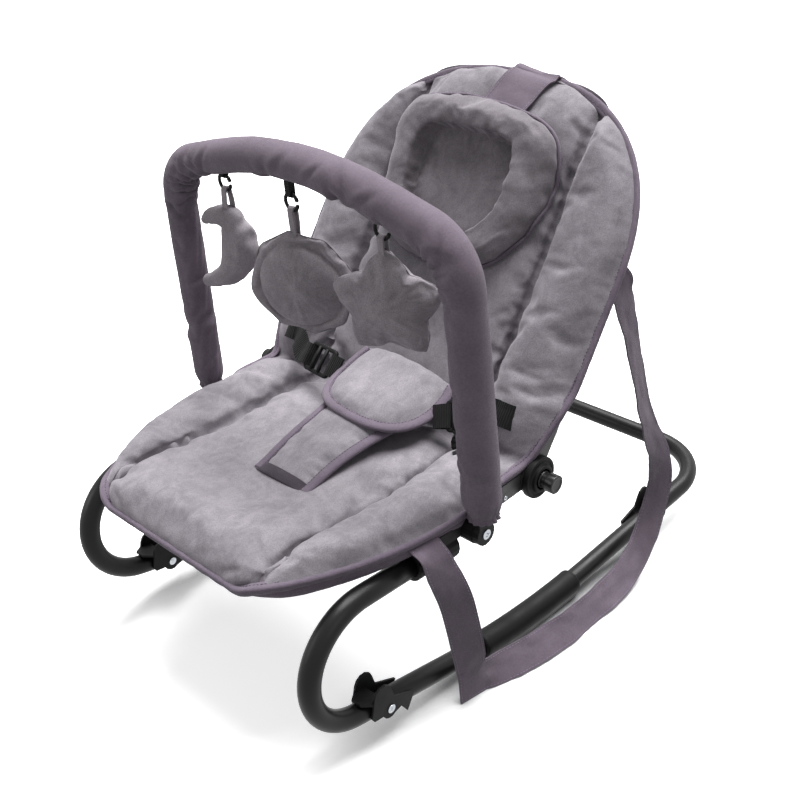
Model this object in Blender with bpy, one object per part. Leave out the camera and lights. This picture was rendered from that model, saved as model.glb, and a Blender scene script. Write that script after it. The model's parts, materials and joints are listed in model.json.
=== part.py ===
"""Baby rocker: padded seat and reclining back on a curved tube base, with a toy bar.

Metres, +Z up.  The foot end points towards -Y, the backrest towards +Y, and the
child's left side is +X.  The origin is the bottom centre of the whole rocker.
"""
import math

import bmesh
import bpy
from mathutils import Matrix, Vector

for old in list(bpy.data.objects):
    bpy.data.objects.remove(old, do_unlink=True)

gap = 0.0003                    # clearance between pieces that touch
tiny = 1e-6

# Base tubes and the sleeves that join them
base_tube_radius = 0.011
base_tube_wall = 0.0012
rail_half_spacing = 0.176       # from the middle of the rocker to a rail's centreline
rocker_radius = 0.90            # rocking arc of the rail's centreline
rocker_lowest_y = -0.021
arc_front_length = 0.142        # arc ahead of the lowest point, along Y
arc_rear_length = 0.090
hook_front_y = -0.357           # foremost point of the hook's centreline
hook_bend_radius = 0.067
hook_end_y = -0.180             # where the hook's upper run ends, in the side bracket
crossbar_y = 0.3619
rear_bend_radius = 0.080
tube_butt_y = -0.036            # hook tube and rear tube meet here, inside the sleeve
sleeve_wall = 0.0032
sleeve_front_y = -0.118
sleeve_rear_y = 0.048
shoe_centre_y = -0.065          # the sleeve's underside is a wear shoe, flat here under the centre of mass
shoe_flat = 0.050
shoe_radius = 1.50

# Recline hinge and the planes of seat and back
hinge_y = -0.061
hinge_z = 0.2152
seat_slope = math.radians(4.37)
back_angle = math.radians(58.8)

# Seat and back frame tubes, and the edge of the padding past their centrelines
frame_tube_radius = 0.008
frame_tube_wall = 0.0011
seat_tube_outset = 0.0040       # from a rail's centreline to the seat tube's
seat_tube_half_width = rail_half_spacing + seat_tube_outset
seat_overhang = 0.0110
seat_length = 0.3125            # from the hinge axis to the padded front edge
seat_taper = 0.072              # how much each side draws in towards the front
seat_taper_start = 0.080
seat_taper_power = 2.4
seat_corner_radius = 0.020
seat_tube_bend_radius = 0.034
back_overhang = 0.0250
back_length = 0.3985            # from the hinge axis to the padded top edge
back_shoulder = 0.200           # where the sides start to close in
back_roundness = 2.2
back_waist = 0.0187             # the padding is narrower beside the hinge
seat_waist = 0.0010

# Hinge plates, housing and push button
plate_thickness = 0.0025
plate_radius = 0.0200
plate_arm_width = 0.0200
lower_arm_length = 0.062
upper_arm_length = 0.068
plate_hole_radius = 0.0028
plate_hole_drop = 0.004
housing_radius = 0.0225
housing_depth = 0.0080
housing_ring_radius = 0.0145
housing_ring_depth = 0.0036
housing_boss_radius = 0.0120
button_radius = 0.0100
button_proud = 0.0160
button_travel = 0.0050
button_guide = 0.0035

# Fabric panels and pads
sling_thickness = 0.0022
sling_flat = 0.0095             # the panel lies flat this far inside the tube's centreline
sling_sag = 0.0160
sling_start = 0.0120
tube_wrap = 0.0055              # the pad stays high this far past the end tube, then turns down
sag_fade = 0.090
pad_rim = 0.0060
pad_gap = 0.0006
pad_start = 0.0110
pad_edge_height = 0.0050        # underside of the padded edge over the plane of the tubes
pad_front_height = -0.0030
arm_margin = 0.004              # the padded edge stays above the hinge plates this far past them
arm_ease = 0.020
plate_cover = 0.0027
seat_middle_crown = 0.0090
seat_side_crown = 0.0140
back_middle_crown = 0.0120
back_side_crown = 0.0160
seam_half_spacing = 0.112
crown_fade = 0.060

# Head pillow and its band over the top of the back
pillow_centre = 0.2615
pillow_half_width = 0.1045
pillow_half_height = 0.0905
pillow_taper = 0.05             # wider at the top by this share
pillow_ring = 0.72              # where the padded ring is thickest, as a share of the half size
pillow_thickness = 0.028
pillow_middle = 0.012
pillow_lift = 0.0028            # over the pad's coarse surface
band_width = 0.060
band_x = 0.0185                 # the band sits a little off the middle
band_thickness = 0.0022
band_gap = 0.0008

# Toy bar
bar_pivot_y = -0.156
bar_pivot_z = 0.198
bar_lean = math.radians(6.4)
bar_outset = 0.0315             # from a rail's centreline to the bar's foot
bar_draw_in = 0.0115            # the bar's legs lean in by this much
bar_half_width = rail_half_spacing + bar_outset
bar_shoulder_half_width = bar_half_width - bar_draw_in
bar_shoulder_height = 0.292
bar_apex_height = 0.345
bar_corner_radius = 0.052
bar_crest_radius = 0.45
bar_tube_radius = 0.0080
bar_tube_wall = 0.0012
bar_foot_rise = 0.0195          # from the pivot to the end of the tube
bar_plug_length = 0.020
bar_sleeve_near_radius = 0.0175
bar_sleeve_far_radius = 0.0152
tongue_thickness = 0.0080
tongue_radius = 0.0125
pivot_pin_radius = 0.0024
pin_head_radius = 0.0052
pin_head_height = 0.0018

# Side bracket that carries the hook tube's end, the seat tube and the toy bar
bracket_front_y = -0.2270
bracket_rear_y = -0.1720
bracket_wall = 0.0034
bracket_lug_radius = 0.0135
lug_outset = 0.0255             # from a rail's centreline to the lug's outer face
lug_outer_x = rail_half_spacing + lug_outset
saddle_front_y = -0.2000
saddle_rear_y = -0.1440
saddle_half_width = 0.0105

# Flip-over stops on the rails
stop_front_y = -0.267
stop_rear_y = 0.203
stop_wall = 0.0024
stop_web = 0.0025
stop_clearance = 0.0008         # from the rail to the inside of each wall

# Carry straps
strap_width = 0.034
strap_thickness = 0.0020

# Hanging toys
tape_thickness = 0.0012
tape_width = 0.0065
toy_hook_radius = 0.0085
toy_hook_wire = 0.0014
toy_thickness = 0.027
star_radius = 0.060
star_inner_radius = 0.043
moon_height = 0.0885
sun_radius = 0.0545
sun_petal = 0.0045
sun_petals = 9

# Safety harness
waist_half_width = 0.067
waist_thickness = 0.0100
crotch_thickness = 0.0090
crotch_half_width = 0.0385
harness_rim = 0.0016
webbing_width = 0.025
webbing_thickness = 0.0016
webbing_slot_inset = 0.0168     # from the back tube's centreline to the slot's outer end
buckle_width = 0.034
buckle_thickness = 0.010

tube_sides = 10
bore_sides = 8


def bore_radius(radius, sides=bore_sides):
    """Radius of a faceted bore that clears a round piece by the gap, measured at its flats."""
    return (radius + gap) / math.cos(math.pi / sides)


def material(name, colour, roughness, metallic=0.0):
    made = bpy.data.materials.new(name)
    made.use_nodes = True
    shader = made.node_tree.nodes["Principled BSDF"]
    shader.inputs["Base Color"].default_value = (*colour, 1.0)
    shader.inputs["Roughness"].default_value = roughness
    shader.inputs["Metallic"].default_value = metallic
    made.diffuse_color = (*colour, 1.0)
    return made


black_tube = material("satin_black_powder_coat", (0.012, 0.012, 0.013), 0.38)
black_plastic = material("matte_black_plastic", (0.014, 0.014, 0.015), 0.55)
dark_steel = material("dark_painted_steel", (0.045, 0.045, 0.045), 0.45, 0.3)
zinc = material("zinc_plated_steel", (0.62, 0.62, 0.62), 0.32, 1.0)
plush = material("grey_plush", (0.170, 0.162, 0.172), 0.95)
woven = material("purple_grey_woven", (0.100, 0.084, 0.118), 0.85)
webbing = material("black_webbing", (0.010, 0.010, 0.011), 0.75)


def add_object(name, mesh_data, look, smooth=30):
    if smooth:
        mesh_data.shade_smooth()
        mesh_data.set_sharp_from_angle(angle=math.radians(smooth))
    made = bpy.data.objects.new(name, mesh_data)
    made.data.materials.append(look)
    bpy.context.scene.collection.objects.link(made)
    return made


def add_bmesh(name, shape, look, smooth=30):
    bmesh.ops.recalc_face_normals(shape, faces=shape.faces)
    mesh_data = bpy.data.meshes.new(name)
    shape.to_mesh(mesh_data)
    shape.free()
    return add_object(name, mesh_data, look, smooth)


def rounded_path(corners, radii, step=12):
    """Points of a bent tube: straight runs between corners, each corner an arc."""
    points = [Vector(corners[0])]
    for index in range(1, len(corners) - 1):
        before, here, after = (Vector(corners[index + k]) for k in (-1, 0, 1))
        radius = radii[index - 1]
        degrees = step[index - 1] if isinstance(step, (list, tuple)) else step
        arrive = (here - before).normalized()
        leave = (after - here).normalized()
        turn = arrive.angle(leave)
        if radius <= 0 or turn < 1e-4:
            points.append(here)
            continue
        setback = radius * math.tan(turn / 2)
        start = here - arrive * setback
        axis = arrive.cross(leave).normalized()
        centre = start + axis.cross(arrive) * radius
        count = max(1, round(math.degrees(turn) / degrees))
        for k in range(count + 1):
            spin = Matrix.Rotation(turn * k / count, 3, axis)
            points.append(centre + spin @ (start - centre))
    points.append(Vector(corners[-1]))
    return points


def path_frames(points, first_side):
    """A tangent and two cross directions at each point, without twist."""
    frames = []
    side = Vector(first_side)
    for index, point in enumerate(points):
        ahead = points[min(index + 1, len(points) - 1)]
        behind = points[max(index - 1, 0)]
        tangent = (ahead - behind).normalized()
        side = (side - tangent * side.dot(tangent)).normalized()
        frames.append((point, tangent, side, tangent.cross(side)))
    return frames


def round_rings(shape, points, radius, sides, first_side=(1, 0, 0)):
    """Rings of vertices round a path; radius is a number or one number per point."""
    rings = []
    for index, (point, tangent, side, other) in enumerate(path_frames(points, first_side)):
        here = radius[index] if isinstance(radius, (list, tuple)) else radius
        ring = []
        for k in range(sides):
            angle = 2 * math.pi * k / sides
            offset = side * math.cos(angle) + other * math.sin(angle)
            ring.append(shape.verts.new(point + offset * here))
        rings.append(ring)
    return rings


def bridge_rings(shape, rings):
    for one, two in zip(rings, rings[1:]):
        for k in range(len(one)):
            after = (k + 1) % len(one)
            shape.faces.new((one[k], one[after], two[after], two[k]))


def bar(name, points, radius, look, sides=tube_sides, first_side=(1, 0, 0)):
    """A solid round bar along a path."""
    shape = bmesh.new()
    rings = round_rings(shape, points, radius, sides, first_side)
    bridge_rings(shape, rings)
    shape.faces.new(list(reversed(rings[0])))
    shape.faces.new(rings[-1])
    return add_bmesh(name, shape, look)


def tube(name, points, radius, inner, look, sides=tube_sides, first_side=(1, 0, 0)):
    """A round tube with open ends along a path."""
    shape = bmesh.new()
    outside = round_rings(shape, points, radius, sides, first_side)
    inside = round_rings(shape, points, inner, sides, first_side)
    bridge_rings(shape, outside)
    bridge_rings(shape, [list(reversed(ring)) for ring in inside])
    for out, bore in ((outside[0], inside[0]), (outside[-1], inside[-1])):
        for k in range(sides):
            after = (k + 1) % sides
            shape.faces.new((out[k], bore[k], bore[after], out[after]))
    return add_bmesh(name, shape, look)


def flat_band(name, points, across, width, thickness, look):
    """A strap: points along its middle, across gives its width direction at each."""
    shape = bmesh.new()
    rings = []
    for index, point in enumerate(points):
        ahead = points[min(index + 1, len(points) - 1)]
        behind = points[max(index - 1, 0)]
        tangent = (ahead - behind).normalized()
        wide = Vector(across[index])
        wide = (wide - tangent * wide.dot(tangent)).normalized()
        normal = tangent.cross(wide)
        here = width[index] if isinstance(width, (list, tuple)) else width
        ring = []
        for a, b in ((-1, -1), (1, -1), (1, 1), (-1, 1)):
            ring.append(shape.verts.new(point + wide * (a * here / 2) + normal * (b * thickness / 2)))
        rings.append(ring)
    bridge_rings(shape, rings)
    shape.faces.new(list(reversed(rings[0])))
    shape.faces.new(rings[-1])
    bmesh.ops.triangulate(shape, faces=shape.faces[:])
    return add_bmesh(name, shape, look, 50)


def extruded(name, outline, low_x, high_x, look, holes=()):
    """A plate: a closed outline of (y, z) points, extruded along X, with round holes."""
    shape = bmesh.new()
    low = [shape.verts.new((low_x, y, z)) for y, z in outline]
    high = [shape.verts.new((high_x, y, z)) for y, z in outline]
    shape.faces.new(low)
    shape.faces.new(list(reversed(high)))
    bridge_rings(shape, [low, high])
    made = add_bmesh(name, shape, look)
    margin = abs(high_x - low_x)
    for hole_y, hole_z, radius, sides in holes:
        start = Vector((min(low_x, high_x) - margin, hole_y, hole_z))
        end = Vector((max(low_x, high_x) + margin, hole_y, hole_z))
        cut(made, bar("cutter", [start, end], radius, look, sides, (0, 1, 0)))
    return made


def combine(target, tool, operation):
    """Apply one Boolean to the target and remove the tool."""
    modifier = target.modifiers.new(operation, "BOOLEAN")
    modifier.operation = operation
    modifier.solver = "EXACT"
    modifier.object = tool
    depsgraph = bpy.context.evaluated_depsgraph_get()
    result = bpy.data.meshes.new_from_object(target.evaluated_get(depsgraph))
    target.modifiers.clear()
    target.data = result
    bpy.data.objects.remove(tool, do_unlink=True)
    return target


def cut(target, tool):
    return combine(target, tool, "DIFFERENCE")


def join(target, tool):
    return combine(target, tool, "UNION")


def arc_points(centre_y, centre_z, radius, start, end, count):
    """(y, z) points of an arc; angles in degrees from +Y towards +Z."""
    points = []
    for k in range(count + 1):
        angle = math.radians(start + (end - start) * k / count)
        points.append((centre_y + radius * math.cos(angle), centre_z + radius * math.sin(angle)))
    return points


def revolved(name, x_radius, centre_y, centre_z, look, sides):
    """A turned piece on an X axis: (x, radius) pairs from inside to outside, closed on the axis."""
    shape = bmesh.new()
    rings = []
    for x, radius in x_radius:
        if radius == 0:
            rings.append([shape.verts.new((x, centre_y, centre_z))])
            continue
        ring = []
        for k in range(sides):
            angle = 2 * math.pi * k / sides
            ring.append(shape.verts.new((x, centre_y + radius * math.cos(angle),
                                         centre_z + radius * math.sin(angle))))
        rings.append(ring)
    for one, two in zip(rings, rings[1:]):
        for k in range(sides):
            after = (k + 1) % sides
            corners = [one[k % len(one)], one[after % len(one)], two[after % len(two)], two[k % len(two)]]
            face = list(dict.fromkeys(corners))
            shape.faces.new(face)
    return add_bmesh(name, shape, look)


# Seat and back have their own axes: across (X), along (from the hinge axis) and up from the plane.
seat_along = Vector((0, -math.cos(seat_slope), -math.sin(seat_slope)))
seat_up = Vector((0, -math.sin(seat_slope), math.cos(seat_slope)))
back_along = Vector((0, math.cos(back_angle), math.sin(back_angle)))
back_up = Vector((0, -math.sin(back_angle), math.cos(back_angle)))
hinge = Vector((0, hinge_y, hinge_z))
fold_tilt = 1 / math.tan(seat_along.angle(back_along) / 2)


def on_seat(across, along, up):
    return hinge + Vector((across, 0, 0)) + seat_along * along + seat_up * up


def on_back(across, along, up):
    return hinge + Vector((across, 0, 0)) + back_along * along + back_up * up


# Rocker rails: a shallow arc with straight runs at both ends
sleeve_radius = base_tube_radius + gap + sleeve_wall
rail_low_z = sleeve_radius
front_slope = arc_front_length / rocker_radius
rear_slope = arc_rear_length / rocker_radius
arc_front_y = rocker_lowest_y - arc_front_length
arc_rear_y = rocker_lowest_y + arc_rear_length


def rail_z(y):
    """Height of the rail's centreline at y."""
    if y < arc_front_y:
        return rail_z(arc_front_y) + (arc_front_y - y) * front_slope
    if y > arc_rear_y:
        return rail_z(arc_rear_y) + (y - arc_rear_y) * rear_slope
    return rail_low_z + (y - rocker_lowest_y) ** 2 / (2 * rocker_radius)


def shoe_height(y):
    """Height of the sleeve's underside at y."""
    beyond = max(0.0, abs(y - shoe_centre_y) - shoe_flat / 2)
    return beyond ** 2 / (2 * shoe_radius)


def rail_points(start_y, end_y, count, x):
    points = []
    for k in range(count + 1):
        y = start_y + (end_y - start_y) * k / count
        points.append(Vector((x, y, rail_z(y))))
    return points


def stations(start, knee, end, before, after):
    """Evenly spaced stations from start to knee, and from knee to end."""
    first = [start + (knee - start) * k / before for k in range(before)]
    return first + [knee + (end - knee) * k / after for k in range(after + 1)]


# The hook turns from the rail's front slope to level, with its foremost point at hook_front_y
front_tilt = math.atan(front_slope)
hook_centre_y = hook_front_y + hook_bend_radius
hook_start_y = hook_centre_y - hook_bend_radius * math.sin(front_tilt)
hook_centre_z = rail_z(hook_start_y) + hook_bend_radius * math.cos(front_tilt)
hook_top_z = hook_centre_z + hook_bend_radius


def hook_path(x):
    points = rail_points(tube_butt_y - gap, arc_front_y, 4, x)
    start_angle = -90 - math.degrees(front_tilt)
    bend = arc_points(hook_centre_y, hook_centre_z, hook_bend_radius, start_angle, -270, 11)
    points += [Vector((x, y, z)) for y, z in bend]
    points.append(Vector((x, hook_end_y, hook_top_z)))
    return points


def rear_path():
    half = rail_half_spacing
    left = rail_points(tube_butt_y + gap, arc_rear_y, 3, half)[:-1]
    right = [Vector((-p.x, p.y, p.z)) for p in reversed(left)]
    corners = [left[-1], Vector((half, arc_rear_y, rail_z(arc_rear_y))),
               Vector((half, crossbar_y, rail_z(crossbar_y))),
               Vector((-half, crossbar_y, rail_z(crossbar_y))),
               Vector((-half, arc_rear_y, rail_z(arc_rear_y))), right[0]]
    radii = [0, rear_bend_radius, rear_bend_radius, 0]
    return left[:-1] + rounded_path(corners, radii, 15) + right[1:]


def cross_hole(target, y, x, look):
    """A pin hole through a rail, along X."""
    reach = base_tube_radius * 2
    ends = [Vector((x - reach, y, rail_z(y))), Vector((x + reach, y, rail_z(y)))]
    cut(target, bar("cutter", ends, bore_radius(pivot_pin_radius), look, bore_sides, (0, 1, 0)))


def make_base():
    bore = base_tube_radius - base_tube_wall
    for side, sign in (("left", 1), ("right", -1)):
        x = sign * rail_half_spacing
        hook = tube("hook_tube_" + side, hook_path(x), base_tube_radius, bore, black_tube)
        cross_hole(hook, stop_front_y, x, black_tube)
        shoe = [shoe_centre_y + shoe_flat * share for share in (-0.5, 0, 0.5)]
        sleeve_middle_y = (rocker_lowest_y + sleeve_rear_y) / 2
        places = [sleeve_front_y] + shoe + stations(rocker_lowest_y, sleeve_middle_y, sleeve_rear_y, 1, 1)
        run = [Vector((x, y, rail_z(y))) for y in places]
        sleeve = tube("rail_sleeve_" + side, run, sleeve_radius, bore_radius(base_tube_radius, tube_sides),
                      black_plastic, tube_sides, (0, 0, 1))
        for vertex in sleeve.data.vertices:
            below = rail_z(vertex.co.y) - vertex.co.z
            outside = math.hypot(below, vertex.co.x - x) > sleeve_radius - sleeve_wall / 3
            if outside and below > sleeve_radius * 0.7:
                vertex.co.z = shoe_height(vertex.co.y)
    rear = tube("rear_tube", rear_path(), base_tube_radius, bore, black_tube)
    for sign in (1, -1):
        cross_hole(rear, stop_rear_y, sign * rail_half_spacing, black_tube)


# Frame tubes of the seat and the back, side by side at the hinge plates
plate_inner_x = seat_tube_half_width + frame_tube_radius + gap
upper_plate_x = plate_inner_x + plate_thickness + gap
back_tube_half_width = upper_plate_x - gap - frame_tube_radius
housing_x = upper_plate_x + plate_thickness + gap
housing_face_x = housing_x + housing_depth + housing_ring_depth
tube_start = plate_radius + 0.004
seat_half_width = seat_tube_half_width + seat_overhang
back_half_width = back_tube_half_width + back_overhang


def seat_edge(along, inset=0.0, corner=seat_corner_radius):
    """Half width of the seat at a distance along it, drawn in by inset."""
    taper = max(0.0, (along - seat_taper_start) / (seat_length - seat_taper_start))
    half = seat_half_width - inset - seat_taper * taper ** seat_taper_power
    over = along - (seat_length - inset - corner)
    if over > 0:
        half -= corner - math.sqrt(max(0.0, corner ** 2 - over ** 2))
    return half


def back_edge(along, inset=0.0):
    """Half width of the back: straight sides that close in a flat ellipse."""
    over = (along - back_shoulder) / (back_length - inset - back_shoulder)
    share = 1 if over <= 0 else max(0.0, 1 - over ** back_roundness) ** (1 / back_roundness)
    return (back_half_width - inset) * share


def seat_tube_edge(along):
    return seat_edge(along, seat_overhang, seat_tube_bend_radius)


def back_tube_edge(along):
    return back_edge(along, back_overhang)


def seat_pad_edge(along):
    return seat_edge(along) - seat_waist * max(0.0, 1 - along / lower_arm_length)


def back_pad_edge(along):
    return back_edge(along) - back_waist * max(0.0, 1 - along / upper_arm_length)


def seat_rows(start):
    """Stations along the seat, closer together round the front corners."""
    bend = seat_length - seat_overhang - seat_tube_bend_radius
    straight = stations(start, lower_arm_length + arm_margin, bend, 2, 4)
    return straight + [bend + seat_tube_bend_radius * math.sin(math.radians(a)) for a in (25, 46, 66, 90)]


def back_rows(start, inset, steps=(22, 38, 54, 68, 80)):
    """Stations along the back, closer together round the top."""
    reach = back_length - inset - back_shoulder
    straight = stations(start, upper_arm_length + arm_margin, back_shoulder, 2, 3)
    power = 2 / back_roundness
    return straight + [back_shoulder + reach * math.sin(math.radians(a)) ** power for a in steps]


def mirrored(points):
    """A path's half on the left, followed by the same on the right."""
    other = [Vector((-p.x, p.y, p.z)) for p in reversed(points) if abs(p.x) > 1e-6]
    return points + other


def make_frames():
    bore = frame_tube_radius - frame_tube_wall
    seat_path = mirrored([on_seat(seat_tube_edge(a), a, 0) for a in seat_rows(tube_start)])
    tube("seat_frame_tube", seat_path, frame_tube_radius, bore, black_tube, 8, (0, 0, 1))
    back_path = mirrored([on_back(back_tube_edge(a), a, 0)
                          for a in back_rows(tube_start, back_overhang, (16, 28, 40, 52, 64, 77, 90))])
    tube("back_frame_tube", back_path, frame_tube_radius, bore, black_tube, 8, (0, 1, 0))


def arm_outline(along, up, length):
    """A round end on the hinge axis with an arm along the tube, as (y, z) points."""
    half = plate_arm_width / 2
    reach = math.sqrt(plate_radius ** 2 - half ** 2)
    start = math.degrees(math.atan2(half, reach))
    chamfer = half * 0.4
    local = arc_points(0, 0, plate_radius, start, 360 - start, 12)
    local += [(length - chamfer, -half), (length, chamfer - half), (length, half - chamfer),
              (length - chamfer, half)]
    places = [hinge + along * a + up * b for a, b in local]
    return [(place.y, place.z) for place in places]


def make_hinges():
    boss_hole = bore_radius(housing_boss_radius, 12)
    lower_hole = on_seat(0, lower_arm_length - plate_arm_width * 0.6, -plate_hole_drop)
    upper_hole = on_back(0, upper_arm_length - plate_arm_width * 0.6, -plate_hole_drop)
    face = housing_face_x
    ring_start = housing_x + housing_depth
    floor = face - button_guide - button_travel - 2 * gap
    well = bore_radius(button_radius, 16)
    profile = [(plate_inner_x, 0), (plate_inner_x, housing_boss_radius), (housing_x, housing_boss_radius),
               (housing_x, housing_radius),
               (ring_start - 0.002, housing_radius), (ring_start, housing_radius - 0.002),
               (ring_start, housing_ring_radius), (face - 0.001, housing_ring_radius),
               (face, housing_ring_radius - 0.001), (face, well), (floor, well), (floor, 0)]
    tip = face + button_proud
    cap = [(face - button_guide, 0), (face - button_guide, button_radius), (tip - 0.001, button_radius),
           (tip, button_radius - 0.001), (tip, 0)]
    for side, sign in (("left", 1), ("right", -1)):
        centre = (hinge_y, hinge_z, boss_hole, 12)
        extruded("hinge_plate_lower_" + side, arm_outline(seat_along, seat_up, lower_arm_length),
                 sign * plate_inner_x, sign * (plate_inner_x + plate_thickness), dark_steel,
                 [centre, (lower_hole.y, lower_hole.z, plate_hole_radius, bore_sides)])
        extruded("hinge_plate_upper_" + side, arm_outline(back_along, back_up, upper_arm_length),
                 sign * upper_plate_x, sign * (upper_plate_x + plate_thickness), dark_steel,
                 [centre, (upper_hole.y, upper_hole.z, plate_hole_radius, bore_sides)])
        for name, turned in (("hinge_housing_", profile), ("recline_button_", cap)):
            outline = [(sign * x, radius) for x, radius in turned]
            revolved(name + side, outline, hinge_y, hinge_z, black_plastic, 16)


def smooth(share):
    share = min(1.0, max(0.0, share))
    return share * share * (3 - 2 * share)


def across_places(edge):
    """Places across half a row: middle channel, seam, side channel, tube centreline."""
    inner = edge - sling_flat
    seam = min(seam_half_spacing, 0.8 * edge, 0.85 * inner)
    places = [seam * share for share in (0, 0.5, 0.88, 1)]
    return places + [seam + (inner - seam) * share for share in (0.3, 0.65, 1)] + [edge]


def both_sides(places):
    return [-x for x in reversed(places[1:])] + places


def sling_height(x, along, part):
    """Underside of the fabric panel: flat over the tube, sagging between the sides."""
    inner = part["tube_edge"](along) - sling_flat
    room = part["tube_end"] - sling_flat - along
    lift = frame_tube_radius + gap
    if abs(x) >= inner or room <= 0:
        return lift
    return lift - sling_sag * (1 - (x / inner) ** 2) ** 2 * smooth(room / sag_fade)


def pad_places(along, part):
    """Places across half a row of the pad, out to its edge; past the tube they spread evenly."""
    edge = part["tube_edge"](min(along, part["tube_end"]))
    outer = part["pad_edge"](along)
    places = across_places(edge)
    if along > part["tube_end"] + tiny:
        places = [x * (outer - pad_rim) / edge for x in places]
    return places + [outer]


def pad_heights(x, along, part):
    """Underside and top of the pad over the plane of the tubes."""
    places = pad_places(along, part)
    seam, edge, outer = places[3], places[-2], places[-1]
    low = sling_height(x, along, part) + sling_thickness + pad_gap
    if along > part["tube_end"] + tiny:
        low = frame_tube_radius + sling_thickness
    if abs(x) > edge + tiny:
        over_plates = plate_arm_width / 2 + plate_cover
        past_arm = smooth((along - part["arm"] - arm_margin) / arm_ease)
        low = over_plates + (pad_edge_height - over_plates) * past_arm
    if along > part["wrap"] + tiny:
        low = pad_front_height
    roll = max(0.0, min(1.0, (part["pad_end"] - along) / crown_fade))
    rise = math.sqrt(1 - (1 - roll) ** 2) * (0.45 + 0.55 * smooth((along - pad_start) / 0.035))
    if abs(x) <= seam:
        crown = part["middle_crown"] * (1 - (x / seam) ** 8)
    else:
        share = min(1.0, (abs(x) - seam) / (outer - seam))
        crown = part["side_crown"] * max(0.0, 1 - (2 * share - 1) ** 2) ** 0.6
    return low, low + pad_rim + crown * rise


def quilt(name, low, high, look):
    """A closed sheet: an upper and a lower grid of points, joined round the rim."""
    shape = bmesh.new()
    under = [[shape.verts.new(point) for point in row] for row in low]
    over = [[shape.verts.new(point) for point in row] for row in high]
    rows, columns = len(low), len(low[0])
    for i in range(rows - 1):
        for j in range(columns - 1):
            shape.faces.new((over[i][j], over[i][j + 1], over[i + 1][j + 1], over[i + 1][j]))
            shape.faces.new((under[i][j], under[i + 1][j], under[i + 1][j + 1], under[i][j + 1]))
    rim = [(0, j) for j in range(columns)] + [(i, columns - 1) for i in range(1, rows)]
    rim += [(rows - 1, j) for j in range(columns - 2, -1, -1)] + [(i, 0) for i in range(rows - 2, 0, -1)]
    for (a, b), (c, d) in zip(rim, rim[1:] + rim[:1]):
        shape.faces.new((under[a][b], under[c][d], over[c][d], over[a][b]))
    return add_bmesh(name, shape, look, 60)


seat_part = {"place": on_seat, "tube_edge": seat_tube_edge, "pad_edge": seat_pad_edge,
             "rows": seat_rows(sling_start), "tube_end": seat_length - seat_overhang,
             "wrap": seat_length - seat_overhang + tube_wrap, "pad_end": seat_length, "arm": lower_arm_length,
             "middle_crown": seat_middle_crown, "side_crown": seat_side_crown}
back_part = {"place": on_back, "tube_edge": back_tube_edge, "pad_edge": back_pad_edge,
             "rows": back_rows(sling_start, back_overhang), "arm": upper_arm_length,
             "tube_end": back_rows(sling_start, back_overhang)[-1],
             "wrap": back_length - back_overhang + tube_wrap,
             "pad_end": back_rows(sling_start, 0.0)[-1],
             "middle_crown": back_middle_crown, "side_crown": back_side_crown}


def make_sling(name, part):
    low, high = [], []
    for along in part["rows"]:
        xs = both_sides(across_places(part["tube_edge"](along)))
        heights = [sling_height(x, along, part) for x in xs]
        low.append([part["place"](x, along, h) for x, h in zip(xs, heights)])
        high.append([part["place"](x, along, h + sling_thickness) for x, h in zip(xs, heights)])
    quilt(name, low, high, woven)


def make_pad(name, part):
    """A quilted pad: puffed side channels, sewn seams and a sunken middle on the panel below."""
    low, high = [], []
    for index, along in enumerate(part["rows"] + [part["wrap"], part["pad_end"]]):
        xs = both_sides(pad_places(along, part))
        under, over = [], []
        for x in xs:
            bottom, top = pad_heights(x, along, part)
            ends = [pad_start + fold_tilt * max(0.0, h) for h in (bottom, top)] if index == 0 else [along] * 2
            under.append(part["place"](x, ends[0], bottom))
            over.append(part["place"](x, ends[1], top))
        low.append(under)
        high.append(over)
    quilt(name, low, high, plush)


def make_pillow():
    """A rounded-square head pillow: a thick padded ring round a sunken centre."""
    shape = bmesh.new()
    rings = {"low": [], "high": []}
    for share in (0.22, 0.45, 0.6, pillow_ring, 0.86, 0.96, 1.0):
        if share <= pillow_ring:
            ease = smooth((share - 0.35) / (pillow_ring - 0.35))
            level = pillow_middle + (pillow_thickness - pillow_middle) * ease
        else:
            over = (share - pillow_ring) / (1 - pillow_ring)
            level = pad_rim + (pillow_thickness - pad_rim) * math.sqrt(max(0.0, 1 - over ** 2))
        low, high = [], []
        for k in range(24):
            angle = 2 * math.pi * k / 24
            c, s = math.cos(angle), math.sin(angle)
            higher = math.copysign(abs(s) ** 0.62, s)
            x = pillow_half_width * share * math.copysign(abs(c) ** 0.62, c) * (1 + pillow_taper * higher)
            along = pillow_centre + pillow_half_height * share * higher
            base = pad_heights(x, along, back_part)[1] + pillow_lift
            low.append(shape.verts.new(on_back(x, along, base)))
            high.append(shape.verts.new(on_back(x, along, base + level)))
        rings["low"].append(low)
        rings["high"].append(high)
    base = pad_heights(0, pillow_centre, back_part)[1] + pillow_lift
    for key, level in (("low", 0.0), ("high", pillow_middle)):
        middle = shape.verts.new(on_back(0, pillow_centre, base + level))
        inner = rings[key][0]
        for k in range(24):
            shape.faces.new((middle, inner[k], inner[(k + 1) % 24]))
        bridge_rings(shape, rings[key])
    bridge_rings(shape, [rings["low"][-1], rings["high"][-1]])
    add_bmesh("head_pillow", shape, plush, 60)


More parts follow.
